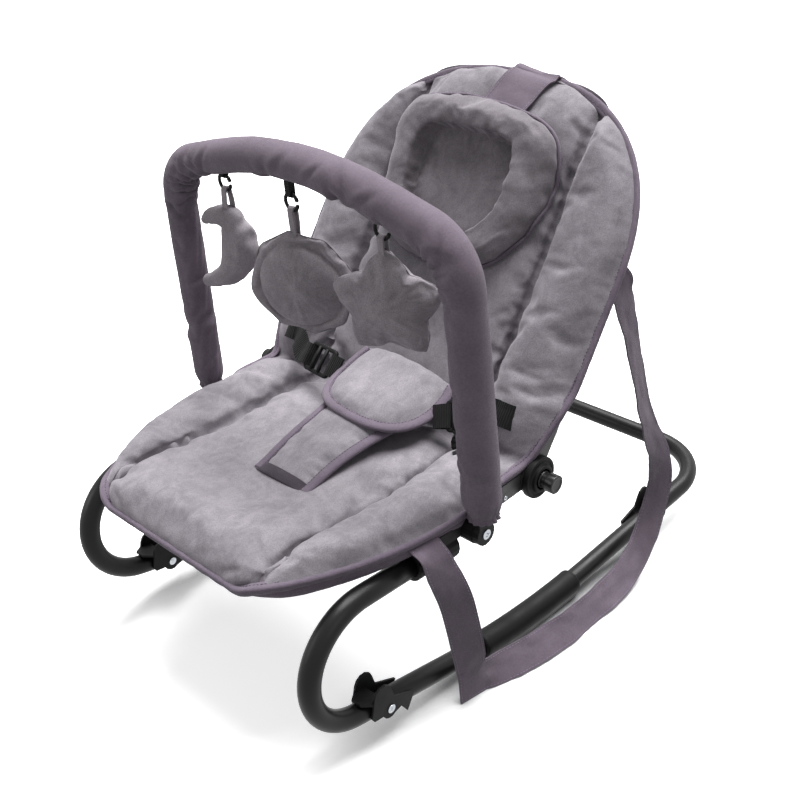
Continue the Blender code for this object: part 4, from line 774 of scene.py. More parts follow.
# Cloth simulation with air pressure, its reach held to a cap in metres; pinned points stay
def swell(made, pinned, cap, stretch, pressure, frames, share=1.0):
    stiffness, bending = 12, 0.3
    rest = np.array([v.co for v in made.data.vertices])
    group = made.vertex_groups.new(name="pin")
    group.add(pinned, 1.0, "REPLACE")
    cloth = made.modifiers.new("cloth", "CLOTH")
    facts = cloth.settings
    facts.quality = 6
    facts.mass = 0.3
    facts.tension_stiffness = facts.compression_stiffness = stiffness
    facts.shear_stiffness = stiffness / 3
    facts.bending_stiffness = bending
    facts.vertex_group_mass = "pin"
    facts.shrink_min = stretch
    facts.use_pressure = True
    facts.uniform_pressure_force = pressure
    facts.effector_weights.gravity = 0
    cloth.collision_settings.use_collision = False
    scene.frame_start, scene.frame_end = 1, frames
    cloth.point_cache.frame_start, cloth.point_cache.frame_end = 1, frames
    for number in range(1, frames + 1):
        scene.frame_set(number)
    graph = bpy.context.evaluated_depsgraph_get()
    done = made.evaluated_get(graph).to_mesh()
    moved = np.array([v.co for v in done.vertices]) - rest
    made.evaluated_get(graph).to_mesh_clear()
    made.modifiers.clear()
    made.vertex_groups.clear()
    scene.frame_set(1)
    far = np.linalg.norm(moved, axis=1, keepdims=True)
    far[far < 1e-9] = 1e-9
    held = cap * np.tanh(far / cap) * share
    rest = rest + moved / far * held
    made.data.vertices.foreach_set("co", rest.astype(np.float32).ravel())
    made.data.update()


def makePad():
    rows, crease = padSheet()
    count, width = len(rows), len(rows[0])
    middle = width // 2
    made = gridPiece("padded_cover", rows, plush)
    seams = (middle - pad["middle"] // 2, middle + pad["middle"] // 2)
    outer = (pad["under"], width - 1 - pad["under"])
    lip, last = pad["lip"], count - 1 - pad["lip"]
    pinned = [i * width + j for i in range(count) for j in range(width)
              if i <= lip or i >= last or i == crease or j <= outer[0] or j >= outer[1] or j in seams]
    share = []
    for i in range(count):
        for j in range(width):
            here = rows[i][j]
            borders = ((i, outer[0]), (i, outer[1]), (lip, j), (last, j))
            near = min((here - rows[k][m]).length for k, m in borders)
            share.append([0.15 + 0.85 * ease(near / 0.03)])
    swell(made, pinned, pad["cap"], pad["stretch"], pad["pressure"], pad["frames"], np.array(share))
    normals = [v.normal.copy() for v in made.data.vertices]
    points = [v.co.copy() for v in made.data.vertices]
    for i in range(count):
        for j in range(width):
            if not outer[0] < j < outer[1] or not lip < i < last:
                continue
            here = points[i * width + j]
            dip = 0.0
            for line, seam in enumerate(seams + outer):
                away = (here - points[i * width + seam]).length
                if away > 0.05:
                    continue
                side = 1 if j > seam else 2
                run = (here - hinge).length * (1 if i > crease else -1)
                wave = ruffle(run * 95 + 31 * line + 7 * side, away * 14, line)
                wave += 0.5 * ruffle(run * 210 + 17 * line, away * 20, side)
                depth = pad["pucker"] * (1.0 if line < 2 else 0.65)
                cluster = 0.3 + 0.7 * ease(0.5 + 1.6 * ruffle(run * 16 + 5 * line, 3 * side, 2))
                dip += depth * cluster * min(0.45, max(-1.0, wave * 2.2)) * math.exp(-away / 0.014)
                if line < 2:
                    dip -= (0.0082 if i > crease else 0.0066) * math.exp(-(away / 0.005) ** 2)
            for edge in (lip, last):
                away = (here - points[edge * width + j]).length
                if away < 0.04:
                    wave = ruffle(here.x * 100 + edge, away * 14, 3)
                    dip += 0.001 * min(0.5, max(-1.0, wave * 2.2)) * math.exp(-away / 0.01)
            away = (here - points[crease * width + j]).length
            if away < 0.05:
                wave = ruffle(here.x * 62, away * 9, 5 + (i > crease))
                dip += 0.002 * max(-1.0, min(0.5, wave * 2)) * math.exp(-away / 0.014)
                dip -= 0.0028 * math.exp(-(away / 0.006) ** 2)
            made.data.vertices[i * width + j].co = here + normals[i * width + j] * dip
    made.data.update()
    smoothed(made)
    acrossHinge(made)
    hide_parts("seat_pad", "back_pad")
    edge = []
    left, right = outer
    for i, j, a, b in ([(lip, j, lip + 1, j) for j in range(left, right + 1)]
                       + [(i, right, i, right - 1) for i in range(lip + 1, last)]
                       + [(last, j, last - 1, j) for j in range(right, left - 1, -1)]
                       + [(i, left, i, left + 1) for i in range(last - 1, lip, -1)]):
        edge.append((points[i * width + j], points[a * width + b]))
    return edge


padEdge = makePad()
print("stage: padded cover")


binding = {"profile": [(-0.0072, 0.0), (-0.0068, 0.0013), (-0.0046, 0.0022), (-0.0028, 0.0017),
                       (-0.0014, 0.0021), (0.001, 0.0022), (0.0027, 0.0011), (0.0033, -0.001),
                       (0.0027, -0.0034), (0.0008, -0.0062), (-0.0012, -0.0084), (-0.003, -0.0082),
                       (-0.0006, -0.0036), (0.0, -0.0008), (-0.003, -0.0004)]}


def planeUp(point):
    run = (point - hinge).dot(backAlong) - (point - hinge).dot(seatAlong)
    return seatUp.lerp(backUp, ease(0.5 + run / 0.09)).normalized()


# Folded tape along an edge; also gives each place with its outward and upward direction
def makeBinding(name, edge, profile, look, closed=True, spacing=0.004, rumple=0.0004):
    loop = evenly([one for one, _ in edge], spacing, closed)
    inward = evenly([one - (one - two).normalized() * 0.004 for one, two in edge], spacing, closed)
    count = len(loop)

    def around(k, reach):
        span = range(k - reach, k + reach + 1)
        return [s % count if closed else min(max(s, 0), count - 1) for s in span]

    line = [sum((loop[s] for s in around(k, 2)), Vector()) / 5 for k in range(count)]
    middle = sum(loop, Vector()) / count
    rows, places = [], []
    for k, point in enumerate(line):
        near = around(k, 1)
        tangent = (line[near[2]] - line[near[0]]).normalized()
        if closed:
            out = tangent.cross(planeUp(point))
            if out.dot(point - middle) < 0:
                out.negate()
        else:
            towards = [min(inward, key=lambda spot: (spot - loop[s]).length_squared) - loop[s]
                       for s in around(k, 5)]
            out = point - (point + sum(towards, Vector()) / len(towards))
        out = (out - tangent * out.dot(tangent)).normalized()
        up = tangent.cross(out)
        if up.z < 0:
            up.negate()
        wobble = 1 + 0.1 * ruffle(k * 0.35, 2.0, 1.0)
        rows.append([point + (out * a + up * (b + rumple * ruffle(k * 0.6, a * 300, b * 300))) * wobble
                     for a, b in profile])
        places.append((point, out, up))
    if closed:
        rows.append(rows[0])
    made = gridPiece(name, rows, look, wrap=True, ends=not closed)
    tidy(made, 0.00001)
    return made, places


def makePadEdge():
    made, places = makeBinding("cover_binding", padEdge, binding["profile"], wovenEdge)
    acrossHinge(made)
    line = [point + out * -0.0029 + up * 0.0019 for point, out, up in places]
    thread = stitches("binding_stitches", line + [line[0]], [up for _, _, up in places] + [places[0][2]],
                      darkThread, 0.0026, 0.0012, 0.0003, 0.0006)
    acrossHinge(thread)


makePadEdge()
print("stage: binding")


# Cover underneath: hems round the frame tubes and the sling between them

under = {"hem": 0.0101, "seatStart": 0.076, "backStart": 0.082}


def tubeLine(part, start, steps=30):
    facts = pad[part]
    inset = facts["inset"]
    if part == "seat":
        bend = facts["length"] - inset - facts["bend"]
        alongs = [start + (bend - start) * k / steps for k in range(steps)]
        alongs += [bend + facts["bend"] * math.sin(math.radians(a)) for a in range(0, 91, 6)]
        half = [onSeat(seatEdge(a, inset, facts["bend"]), a, 0) for a in alongs]
    else:
        shoulder = backForm["shoulder"]
        reach, power = facts["length"] - inset - shoulder, 2 / backForm["tubePower"]
        alongs = [start + (shoulder - start) * k / steps for k in range(steps)]
        alongs += [shoulder + reach * math.sin(math.radians(a)) ** power for a in range(0, 91, 3)]
        half = [onBack(backEdge(a, inset), a, 0) for a in alongs]
    return half + [Vector((-p.x, p.y, p.z)) for p in reversed(half) if abs(p.x) > 1e-4]


def makeUnder():
    for part, body, node, cloth in (("seat", "base", "seat_frame_tube", "seat_sling"),
                                    ("back", "backrest", "back_frame_tube", "back_sling")):
        tube = sweep(part + "_frame_tube_look", tubeLine(part, 0.024), 0.008, coating, 24, (0, 0, 1))
        mount(tube, body, "tube_coating", node)
        start = under[part + "Start"]
        path = evenly(tubeLine(part, start), 0.006)
        phase = {"seat": 0.0, "back": 9.0}[part]

        def wrinkled(angle, run, phase=phase):
            return (1 + 0.03 * ruffle(math.cos(angle) * 1.3 + phase, math.sin(angle) * 1.3, run * 55)
                    + 0.018 * ruffle(angle * 1.1, run * 140, phase))

        radii = [under["hem"]] * len(path)
        radii[0] = radii[-1] = under["hem"] * 0.93
        hem = sweep(part + "_hem", path, radii, woven, 30, (0, 0, 1), "flat", wrinkled)
        mount(hem, body, "woven_cloth")
        place = onSeat if part == "seat" else onBack
        end = pad[part]["tubeEnd"] - 0.004
        rows = []
        for k in range(61):
            along = 0.016 + (end - 0.016) * k / 60
            tube, _ = padEdges(along, part)
            reach = tube - 0.0085
            row = []
            for j in range(-30, 31):
                x = reach * math.sin(math.radians(90 * j / 30))
                level = slingLevel(x, along, part) - 0.0012
                level -= 0.0075 * ease((abs(x) - (reach - 0.014)) / 0.014)
                level -= 0.007 * ease((along - (end - 0.014)) / 0.014)
                level += 0.0012 * ruffle(x * 26 + phase, along * 30) * ease((reach - abs(x)) / 0.02)
                gather = ruffle(along * 170, phase, 4) if abs(x) > reach * 0.5 else 0
                level += 0.0008 * gather * ease((abs(x) - reach * 0.75) / (reach * 0.25))
                row.append(place(x, along, level))
            rows.append(row)
        sheet = gridPiece(part + "_under_cover", rows, woven)
        thicken(sheet, 0.0009, 0.0)
        mount(sheet, body, "woven_cloth", cloth)
        width = 2 * (padEdges(0.15, part)[0])


makeUnder()
print("stage: under cover")


# Heights over the finished cover, for what lies on it

coverTree = BVHTree.FromObject(bpy.data.objects["padded_cover"], bpy.context.evaluated_depsgraph_get())


# Height of the finished cover over the plane of the tubes
def coverUp(x, along, part):
    place, up = (onSeat, seatUp) if part == "seat" else (onBack, backUp)
    start = place(x, along, 0.12)
    hit = coverTree.ray_cast(start, -up, 0.2)[0]
    return (hit - place(0, along, 0)).dot(up) if hit else padLevel(x, along, part)[0]


def settled(start, direction, fallback, reach=0.14):
    hit = coverTree.ray_cast(start, direction, reach)[0]
    return hit if hit else fallback


# Head pillow: a rounded square, its puffed ring pinned by two seams

pillow = {"outline": [(-0.123, 0.312), (-0.113, 0.331), (-0.087, 0.343), (-0.043, 0.35), (-0.003, 0.352),
                      (0.04, 0.347), (0.076, 0.338), (0.096, 0.325), (0.105, 0.305), (0.107, 0.281),
                      (0.104, 0.249), (0.095, 0.22), (0.08, 0.197), (0.059, 0.181), (0.009, 0.172),
                      (-0.034, 0.174), (-0.062, 0.184), (-0.086, 0.205), (-0.101, 0.23), (-0.108, 0.26),
                      (-0.12, 0.292)],
          "inner": [(-0.064, 0.296), (-0.052, 0.31), (-0.02, 0.313), (0.02, 0.313), (0.046, 0.312),
                    (0.058, 0.306), (0.061, 0.29), (0.062, 0.26), (0.06, 0.236), (0.048, 0.219),
                    (0.03, 0.207), (-0.008, 0.205), (-0.044, 0.212), (-0.06, 0.228), (-0.065, 0.26)],
          "centre": (-0.004, 0.264), "panel": 0.55, "ring": 0.0225, "middle": 0.007, "points": 120}


def pillowReach(name):
    outline = pillow[name]
    loop = curveThrough(outline[-2:] + outline + outline[:2], 8)[16:-16]
    centre = Vector(pillow["centre"])
    ring = []
    for spot in evenly([Vector((a, b, 0)) for a, b in loop], 0.001, True):
        ring.append((math.atan2(spot.y - centre.y, spot.x - centre.x), (spot.xy - centre).length))
    made = []
    for k in range(pillow["points"]):
        angle = -math.pi + 2 * math.pi * k / pillow["points"]
        made.append(min(ring, key=lambda one: abs(one[0] - angle))[1])
    return [(made[k - 1] + made[k] + made[(k + 1) % len(made)]) / 3 for k in range(len(made))]


def pillowRing(share, inner, outer):
    panel, centre = pillow["panel"], pillow["centre"]
    made = []
    for k in range(pillow["points"]):
        angle = -math.pi + 2 * math.pi * k / pillow["points"]
        reach = inner[k] * share / panel
        if share > panel:
            over = (share - panel) / (1 - panel)
            reach = inner[k] + (outer[k] - inner[k]) * over - 0.0045 * math.sin(math.pi * min(1, over / 0.36))
        made.append((centre[0] + reach * math.cos(angle), centre[1] + reach * math.sin(angle)))
    return made


def pillowLevel(share):
    panel = pillow["panel"]
    if share <= panel:
        return pillow["middle"] + 0.0022 * (1 - (share / panel) ** 2) ** 0.5
    over = (share - panel) / (1 - panel)
    puff = (pillow["ring"] - 0.004 * over) * math.sin(math.pi * over ** 0.66) ** 0.46
    return pillow["middle"] - 0.0005 + puff - (pillow["middle"] - 0.0065) * over


def makePillow():
    panel = pillow["panel"]
    shares = [0.03, 0.1, 0.18, 0.26, 0.34, 0.41, 0.47, 0.52, 0.545, panel]
    shares += [panel + (1 - panel) * k / 17 for k in (0.6, 1.3, *range(2, 16), 15.8, 16.4, 17)]
    levels = [pillowLevel(share) for share in shares]
    shares += [0.995, 0.985, 0.955]
    levels += [0.0045, 0.0022, 0.0008]
    inside, outside = pillowReach("inner"), pillowReach("outline")
    rings = [pillowRing(share, inside, outside) for share in shares]
    bases = [[coverUp(x, along, "back") for x, along in ring] for ring in rings]
    rows = []
    for index, ring in enumerate(rings):
        near = bases[max(0, index - 2):index + 3]
        row = []
        for k, (x, along) in enumerate(ring):
            low = sum(line[(k + s) % len(line)] for line in near for s in (-2, -1, 0, 1, 2)) / (5 * len(near))
            row.append(onBack(x, along, max(low, bases[index][k]) + levels[index]))
        rows.append(row)
    points = pillow["points"]
    middle = sum(rows[0], Vector()) / points
    # the pillow's plush is darker, a painted shade
    made = gridPiece("head_pillow_look", [[middle.copy() for _ in range(points)]] + rows, pillowShadeAndSeamPlush, wrap=True)
    tidy(made)
    spots = np.array([v.co for v in made.data.vertices])
    lookup = {}
    for index, row in enumerate(rows):
        for k, spot in enumerate(row):
            lookup[(index, k)] = int(np.argmin(((spots - np.array(spot)) ** 2).sum(axis=1)))
    seam, edge = shares.index(panel), shares.index(1)
    pinned = [lookup[(index, k)] for index in list(range(len(rows))) for k in range(points)
              if index == seam or index >= edge]
    swell(made, pinned, 0.0035, -0.05, 1.6, 16)
    normals = [v.normal.copy() for v in made.data.vertices]
    for index in range(len(rows)):
        for k in range(points):
            turn = 2 * math.pi * k / points
            inner = (shares[index] - panel) * 0.105 if index > seam else (panel - shares[index]) * 0.105
            outer = abs(1 - shares[index]) * 0.105
            side = 1.0 if index > seam else 0.45
            wave = ruffle(math.cos(turn) * 9.5, math.sin(turn) * 9.5, inner * 30 + 3 * (index > seam))
            dip = 0.0026 * side * max(-1, min(0.5, wave * 2.2)) * math.exp(-inner / 0.011)
            wave = ruffle(math.cos(turn) * 11, math.sin(turn) * 11, 8 + outer * 30)
            dip += 0.0013 * max(-1, min(0.5, wave * 2)) * math.exp(-outer / 0.01) * (index <= edge)
            dip -= 0.0034 * math.exp(-(inner / 0.0032) ** 2)
            spot = lookup[(index, k)]
            made.data.vertices[spot].co = made.data.vertices[spot].co + normals[spot] * dip
    made.data.update()
    smoothed(made)
    mount(made, "backrest", "plush", "head_pillow")
    rim = [onBack(x, along, bases[edge][k] + 0.0062) for k, (x, along) in enumerate(rings[edge])]
    outward = [(spot - middle).normalized() for spot in rim]
    cord = [spot + away * 0.0016 - backUp * 0.001 for spot, away in zip(rim, outward)]
    piping = sweep("pillow_piping", cord + [cord[0]], 0.0021, wovenEdge, 12, backUp, "open",
                   lambda angle, run: 1 + 0.1 * ruffle(run * 160, 2))
    mount(piping, "backrest", "woven_cloth")


makePillow()
print("stage: pillow")


# A flat strap of some thickness; wide gives the direction across it at each place
def ribbon(name, middle, wide, width, thickness, look, columns=10, wave=0.0006, seed=0.0, cup=0.0):
    rows = []
    lengths = runLengths(middle)
    for index, point in enumerate(middle):
        ahead, behind = middle[min(index + 1, len(middle) - 1)], middle[max(index - 1, 0)]
        tangent = (ahead - behind).normalized()
        across = Vector(wide[index])
        across = (across - tangent * across.dot(tangent)).normalized()
        normal = tangent.cross(across)
        here = width[index] if isinstance(width, (list, tuple)) else width
        row = []
        for j in range(columns + 1):
            share = 2 * j / columns - 1
            rise = wave * ruffle(share * 1.1 + seed, lengths[index] * 38, seed)
            rise += wave * 0.6 * ruffle(share * 2.2, lengths[index] * 90, seed + 4)
            row.append(point + across * (here / 2 * share) + normal * (rise - cup * share ** 2))
        rows.append(row)
    made = gridPiece(name, rows, look)
    thicken(made, thickness, 0.0)
    applyModifiers(made)
    made.data.shade_smooth()
    made.data.set_sharp_from_angle(angle=math.radians(50))
    return made, rows


def edgeStitches(name, rows, inset, look, rise, length=0.0026, space=0.0014, radius=0.00022):
    pieces = []
    for side in (0, -1):
        line, up = [], []
        for index, row in enumerate(rows):
            inward = (row[len(row) // 2] - row[side]).normalized()
            ahead = rows[min(index + 1, len(rows) - 1)][side] - rows[max(index - 1, 0)][side]
            normal = ahead.normalized().cross(row[-1] - row[0]).normalized()
            line.append(row[side] + inward * inset)
            up.append(normal)
        for face in (1, -1):
            lifted = [spot + normal * rise * face for spot, normal in zip(line, up)]
            pieces.append(stitches(name, lifted, [normal * face for normal in up], look, length, space, radius))
    return joinPieces(name, pieces)


# Band over the top edge, which the pillow hangs from

band = {"width": 0.058, "thick": 0.0015, "clear": 0.0016, "x": 0.0115, "drift": 0.0155, "overX": 0.027,
        "start": 0.347, "edge": 0.395, "wide": (1, -0.07, -0.11),
        # behind the back: along it, over the plane of its tube
        "behind": [(0.4022, -0.001), (0.401, -0.0072), (0.396, -0.012), (0.386, -0.0128),
                   (0.374, -0.0126), (0.359, -0.0112)]}


def makeBand():
    route = []
    for k in range(13):
        share = k / 12
        along = band["start"] + (band["edge"] - band["start"]) * share
        x = band["x"] + band["drift"] * share
        level = max(coverUp(x + s, min(along, 0.396), "back") for s in (-0.028, -0.014, 0, 0.014, 0.028))
        route.append([x, along, level + band["clear"]])
    # pulled tight: straight from one high place to the next
    for low in range(12):
        for high in range(low + 2, 13):
            for k in range(low + 1, high):
                part = (k - low) / (high - low)
                route[k][2] = max(route[k][2], route[low][2] + (route[high][2] - route[low][2]) * part)
    top = route[-1][2]
    for degrees in (20, 45, 70, 90):
        turn = math.radians(degrees)
        level = top - (top - 0.006) * (1 - math.cos(turn))
        route.append((band["overX"], band["edge"] + 0.0068 * math.sin(turn), level))
    route += [(band["overX"], along, level) for along, level in band["behind"]]
    middle = [Vector(spot) for spot in curveThrough([onBack(*spot) for spot in route], 3)]
    made, rows = ribbon("head_band_look", middle, [band["wide"]] * len(middle), band["width"], band["thick"],
                        woven, 16, 0.0005, 3.0, 0.001)
    mount(made, "backrest", "woven_cloth", "head_band")
    length = runLengths(middle)[-1]
    thread = edgeStitches("band_stitches", rows, 0.003, threadLook, 0.00085)
    mount(thread, "backrest", "woven_cloth")


makeBand()
print("stage: band")


# Toy bar: padded woven cover, its ends gathered

bar = {"pivot": Vector((0, -0.156, 0.198)), "lean": math.radians(6.4), "half": 0.2075, "shoulder": 0.196,
       "shoulderUp": 0.292, "apexUp": 0.345, "corner": 0.052, "crest": 0.45, "rise": 0.0195,
       "far": 0.0156, "near": 0.018, "cornerRun": 0.262}
barUp = Vector((0, -math.sin(bar["lean"]), math.cos(bar["lean"])))
barOut = Vector((0, -math.cos(bar["lean"]), -math.sin(bar["lean"])))


def onBar(across, height, out=0.0):
    return bar["pivot"] + Vector((across, 0, 0)) + barUp * height + barOut * out


def makeBarCover():
    corners = [onBar(across, height) for across, height in (
        (bar["half"], bar["rise"]), (bar["shoulder"], bar["shoulderUp"]), (0, bar["apexUp"]),
        (-bar["shoulder"], bar["shoulderUp"]), (-bar["half"], bar["rise"]))]
    path = evenly(roundedPath(corners, [bar["corner"], bar["crest"], bar["corner"]], 4), 0.0028)
    lengths = runLengths(path)
    total = lengths[-1]
    radii = []
    for spot, run in zip(path, lengths):
        share = ease((spot.x / bar["half"] + 1) / 2)
        size = bar["far"] + (bar["near"] - bar["far"]) * share
        end = min(run, total - run)
        size *= 0.7 + 0.3 * ease(end / 0.02) if end > 0.006 else 0.7 + 0.1 * (1 - end / 0.006)
        radii.append(size)
    corner = [bar["cornerRun"], total - bar["cornerRun"]]

    chance = np.random.default_rng(7)
    folds = []  # place along the bar, angle, width, reach round the bar, depth, slant
    for spot, count, spread, start, width in ((corner[0], 9, 0.04, 170, 120), (corner[1], 10, 0.045, 160, 140),
                                              (total / 2, 20, 0.2, 190, 90), (0.12, 8, 0.09, 200, 110),
                                              (total - 0.12, 9, 0.09, 150, 140)):
        for draw in chance.random((count, 6)):
            folds.append((spot + spread * (2 * draw[0] - 1), math.radians(start + width * draw[1]),
                          0.0036 + 0.0032 * draw[2], 0.4 + 0.45 * draw[3], 0.06 + 0.11 * draw[4],
                          0.016 * (2 * draw[5] - 1)))

    def form(angle, run):
        end = min(run, total - run)
        gather = math.exp(-end / 0.009)
        pleat = math.cos(13 * angle + 2 * ruffle(run * 60, 1))
        value = 1 + 0.16 * gather * pleat * (0.5 + 0.8 * ruffle(angle * 1.5, 5))
        value += 0.04 * ruffle(math.cos(angle) * 0.9, math.sin(angle) * 0.9, run * 24)
        under = max(0.0, -math.cos(angle)) ** 1.5
        value += 0.075 * under * crease(0.5, 2, run * 42 + 3 * math.sin(angle), angle, 9)
        for spot in corner:
            near = math.exp(-((run - spot) / 0.034) ** 4)
            inside = max(0.0, 0.35 - math.cos(angle)) / 1.35
            phase = (run - spot) / 0.0125 + 0.9 * ruffle(run * 40, math.sin(angle) * 1.1, spot * 9)
            fold = 0.35 - abs(math.sin(math.pi * phase + 0.5 * math.sin(angle))) ** 0.6
            value -= 0.5 * near * inside * fold
        for spot, turn, wide, reach, deep, slant in folds:
            if abs(run - spot) < 0.035:
                away = (run - spot + slant * (angle - turn)) / wide
                deep *= math.exp(-((angle - turn) / reach) ** 2)
                value += deep * (0.55 * math.exp(-(away - 1.7) ** 2) - math.exp(-away ** 2))
        seam = math.exp(-((angle - 4.45 + 2 * math.pi) % (2 * math.pi)) ** 2 / 0.05)
        seam += math.exp(-((4.45 - angle + 2 * math.pi) % (2 * math.pi)) ** 2 / 0.05)
        value -= 0.035 * seam
        value += 0.02 * seam ** 0.3 * crease(0.6, 2, run * 120, 7, angle * 0.5)
        return value

    cover = sweep("toy_bar_cover", path, radii, woven, 72, (1, 0, 0), "open", form)
    smoothed(cover)
    thicken(cover, 0.0012, -1.0)
    mount(cover, "toy_bar", "woven_cloth", "toy_bar_sleeve")
    for side, sign in (("left", 1), ("right", -1)):
        start, run = (path[0], path[1] - path[0]) if sign > 0 else (path[-1], path[-2] - path[-1])
        run = run.normalized()
        plug = sweep("sleeve_end_" + side, [start - run * 0.0008, start + run * 0.004, start + run * 0.012],
                     [0.0112, 0.0117, 0.0105], darkThread, 40, (1, 0, 0), "flat",
                     lambda angle, length: 1 + 0.05 * math.cos(17 * angle))
        mount(plug, "toy_bar", "woven_cloth")
    inner = sweep("toy_bar_tube_look", path, 0.008, coating, 24, (1, 0, 0))
    mount(inner, "toy_bar", "tube_coating", "toy_bar_tube")


makeBarCover()
print("stage: toy bar")


# Carry straps

strap = {"width": 0.034, "thick": 0.0016, "onSeat": 0.158, "onBack": 0.215,
         # each spot: place of the middle, then the direction across the strap
         "fall": [(0.2045, -0.212, 0.179, 0.22, 1, 0.06), (0.211, -0.2, 0.145, 0.5, 0.86, 0.12),
                  (0.211, -0.186, 0.1, 0.62, 0.8, 0.1), (0.2095, -0.174, 0.06, 0.45, 0.9, 0.08),
                  (0.207, -0.1675, 0.038, 0.18, 1, 0)],
         "floor": [(0.2072, -0.144, 0.0172, -0.2, 0, 0.97), (0.211, -0.12, 0.015, -0.5, 0, 0.85),
                   (0.2172, -0.085, 0.015, -0.62, 0.05, 0.78), (0.22, -0.055, 0.0148, -0.7, 0, 0.71),
                   (0.2225, -0.02, 0.0146, -0.6, 0, 0.8), (0.2215, 0.02, 0.015, -0.52, -0.05, 0.84),
                   (0.22, 0.06, 0.016, -0.66, -0.1, 0.74), (0.216, 0.1, 0.0185, -0.6, -0.25, 0.72),
                   (0.2095, 0.14, 0.034, -0.5, -0.6, 0.52), (0.206, 0.163, 0.062, -0.5, -0.8, 0.25),
                   (0.206, 0.174, 0.105, -0.4, -0.9, 0.1), (0.207, 0.164, 0.148, -0.12, -0.98, -0.1),
                   (0.206, 0.14, 0.19, 0.18, -0.95, -0.3), (0.2052, 0.12, 0.23, 0.28, -0.95, -0.3),
                   (0.2045, 0.1, 0.28, 0.28, -0.95, -0.3), (0.2042, 0.078, 0.332, 0.2, -0.9, -0.35),
                   (0.2035, 0.0605, 0.372, 0.1, -0.7, -0.6), (0.201, 0.054, 0.3895, 0, -0.55, -0.8)]}


def makeStraps():
    for side, sign in (("left", 1), ("right", -1)):
        edgeSeat, edgeBack = onSeat(0, strap["onSeat"], 0.003), onBack(0, strap["onBack"], 0.003)
        seatEnd = seatEdge(strap["onSeat"], pad["seat"]["inset"], pad["seat"]["bend"]) + 0.01
        fall = [[seatEnd - 0.004, edgeSeat.y, edgeSeat.z + 0.001, 0.2, 1, 0.08],
                [seatEnd + 0.003, edgeSeat.y + 0.0004, edgeSeat.z - 0.001, 0.1, 1, 0.08],
                [seatEnd + 0.0125, edgeSeat.y + 0.0015, edgeSeat.z - 0.0077, 0, 1, 0.05]]
        fall += strap["fall"]
        rest = strap["floor"] + [[0.193, edgeBack.y, edgeBack.z, 0, -backAlong.y, -backAlong.z]]
        # the strap is folded over itself where it meets the floor
        fold = [0.2062, -0.165, 0.0177, 0, 1, 1]
        rings = curveThrough(fall, 6) + [fold] + curveThrough(rest, 6)
        widths = [strap["width"]] * (6 * (len(fall) - 1) + 1) + [strap["width"] * math.sqrt(2)]
        widths += [strap["width"]] * (len(rings) - len(widths))
        middle = [Vector((sign * ring[0], ring[1], ring[2])) for ring in rings]
        wide = [Vector((sign * ring[3], ring[4], ring[5])) for ring in rings]
        made, rows = ribbon("carry_strap_%s_look" % side, middle, wide, widths, strap["thick"], woven, 12,
                            0.0016, 2.0 + sign)
        # what would lie under the floor is pressed flat on it
        low = min(v.co.z for v in made.data.vertices)
        for vertex in made.data.vertices:
            if vertex.co.z < 0.0006:
                vertex.co.z = 0.0003 + (vertex.co.z - low) * 0.15
        thread = edgeStitches("strap_stitches_" + side, rows, 0.0022, threadLook, 0.00095, 0.0026, 0.0016)
        for vertex in thread.data.vertices:
            vertex.co.z = max(vertex.co.z, 0.0002)
        for piece in (made, thread):
            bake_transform(piece)
        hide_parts("carry_strap_" + side)


makeStraps()
print("stage: carry straps")


# Harness: bound crotch pad and waist pad over a rising spine

harness = {"spine": [(0.022, -0.2505, 0.2175, 0), (0.022, -0.236, 0.225, 1), (0.022, -0.215, 0.2345, 3),
                     (0.022, -0.19, 0.243, 6), (0.023, -0.162, 0.251, 10), (0.024, -0.135, 0.258, 14),
                     (0.024, -0.108, 0.265, 18), (0.023, -0.082, 0.273, 20), (0.022, -0.058, 0.282, 22)],
           "crotch": [0.0385, 0.0385, 0.039, 0.0405, 0.043, 0.047, 0.051, 0.053],
           "waist": 0.067, "clear": 0.007,
           "profile": [(-0.0092, 0.0002), (-0.0088, 0.0013), (-0.006, 0.0019), (-0.0025, 0.0018),
                       (0.0003, 0.0011), (0.0014, -0.0004), (0.0014, -0.0022), (0.0002, -0.0038),
                       (-0.0022, -0.0045), (-0.007, -0.0046), (-0.007, -0.0038), (-0.0022, -0.0034),
                       (-0.0004, -0.0018), (-0.0012, -0.0002), (-0.005, 0.0002)]}
harnessLine = curveThrough(harness["spine"], 10)


def onHarness(row, across, up):
    place = min(max(row, 0), 8) * 10
    low = min(int(place), len(harnessLine) - 2)
    share = place - low
    x, y, z, turn = (a + (b - a) * share for a, b in zip(harnessLine[low], harnessLine[low + 1]))
    ahead, behind = Vector(harnessLine[min(low + 12, 80)][:3]), Vector(harnessLine[max(low - 11, 0)][:3])
    tangent = (ahead - behind).normalized()
    wide = Vector((math.cos(math.radians(turn)), math.sin(math.radians(turn)), 0))
    wide = (wide - tangent * wide.dot(tangent)).normalized()
    bend = 2.4 * ease(row / 5)
    return Vector((x, y, z)) + wide * across + wide.cross(tangent) * (up - bend * across ** 2)


def crotchHalf(row):
    widths = harness["crotch"]
    low = min(int(row), len(widths) - 2)
    return widths[low] + (widths[low + 1] - widths[low]) * (row - low)


def waistHalf(share):
    if share < 0.62:
        return harness["waist"] * max(0.0, 1 - ((0.62 - share) / 0.62) ** 2.6) ** 0.42
    return harness["waist"] * (1 - 0.1 * ((share - 0.62) / 0.38) ** 2)


def boundEdge(name, edge):
    made, places = makeBinding(name, edge, harness["profile"], wovenEdge, False, 0.003, 0.0003)
    line = [point + out * -0.0078 + up * 0.0017 for point, out, up in places]
    thread = stitches(name + "_thread", line, [up for _, _, up in places], darkThread, 0.0024, 0.0012, 0.00026,
                      0.0004)
    for piece in (made, thread):
        mount(piece, "base", "woven_cloth")


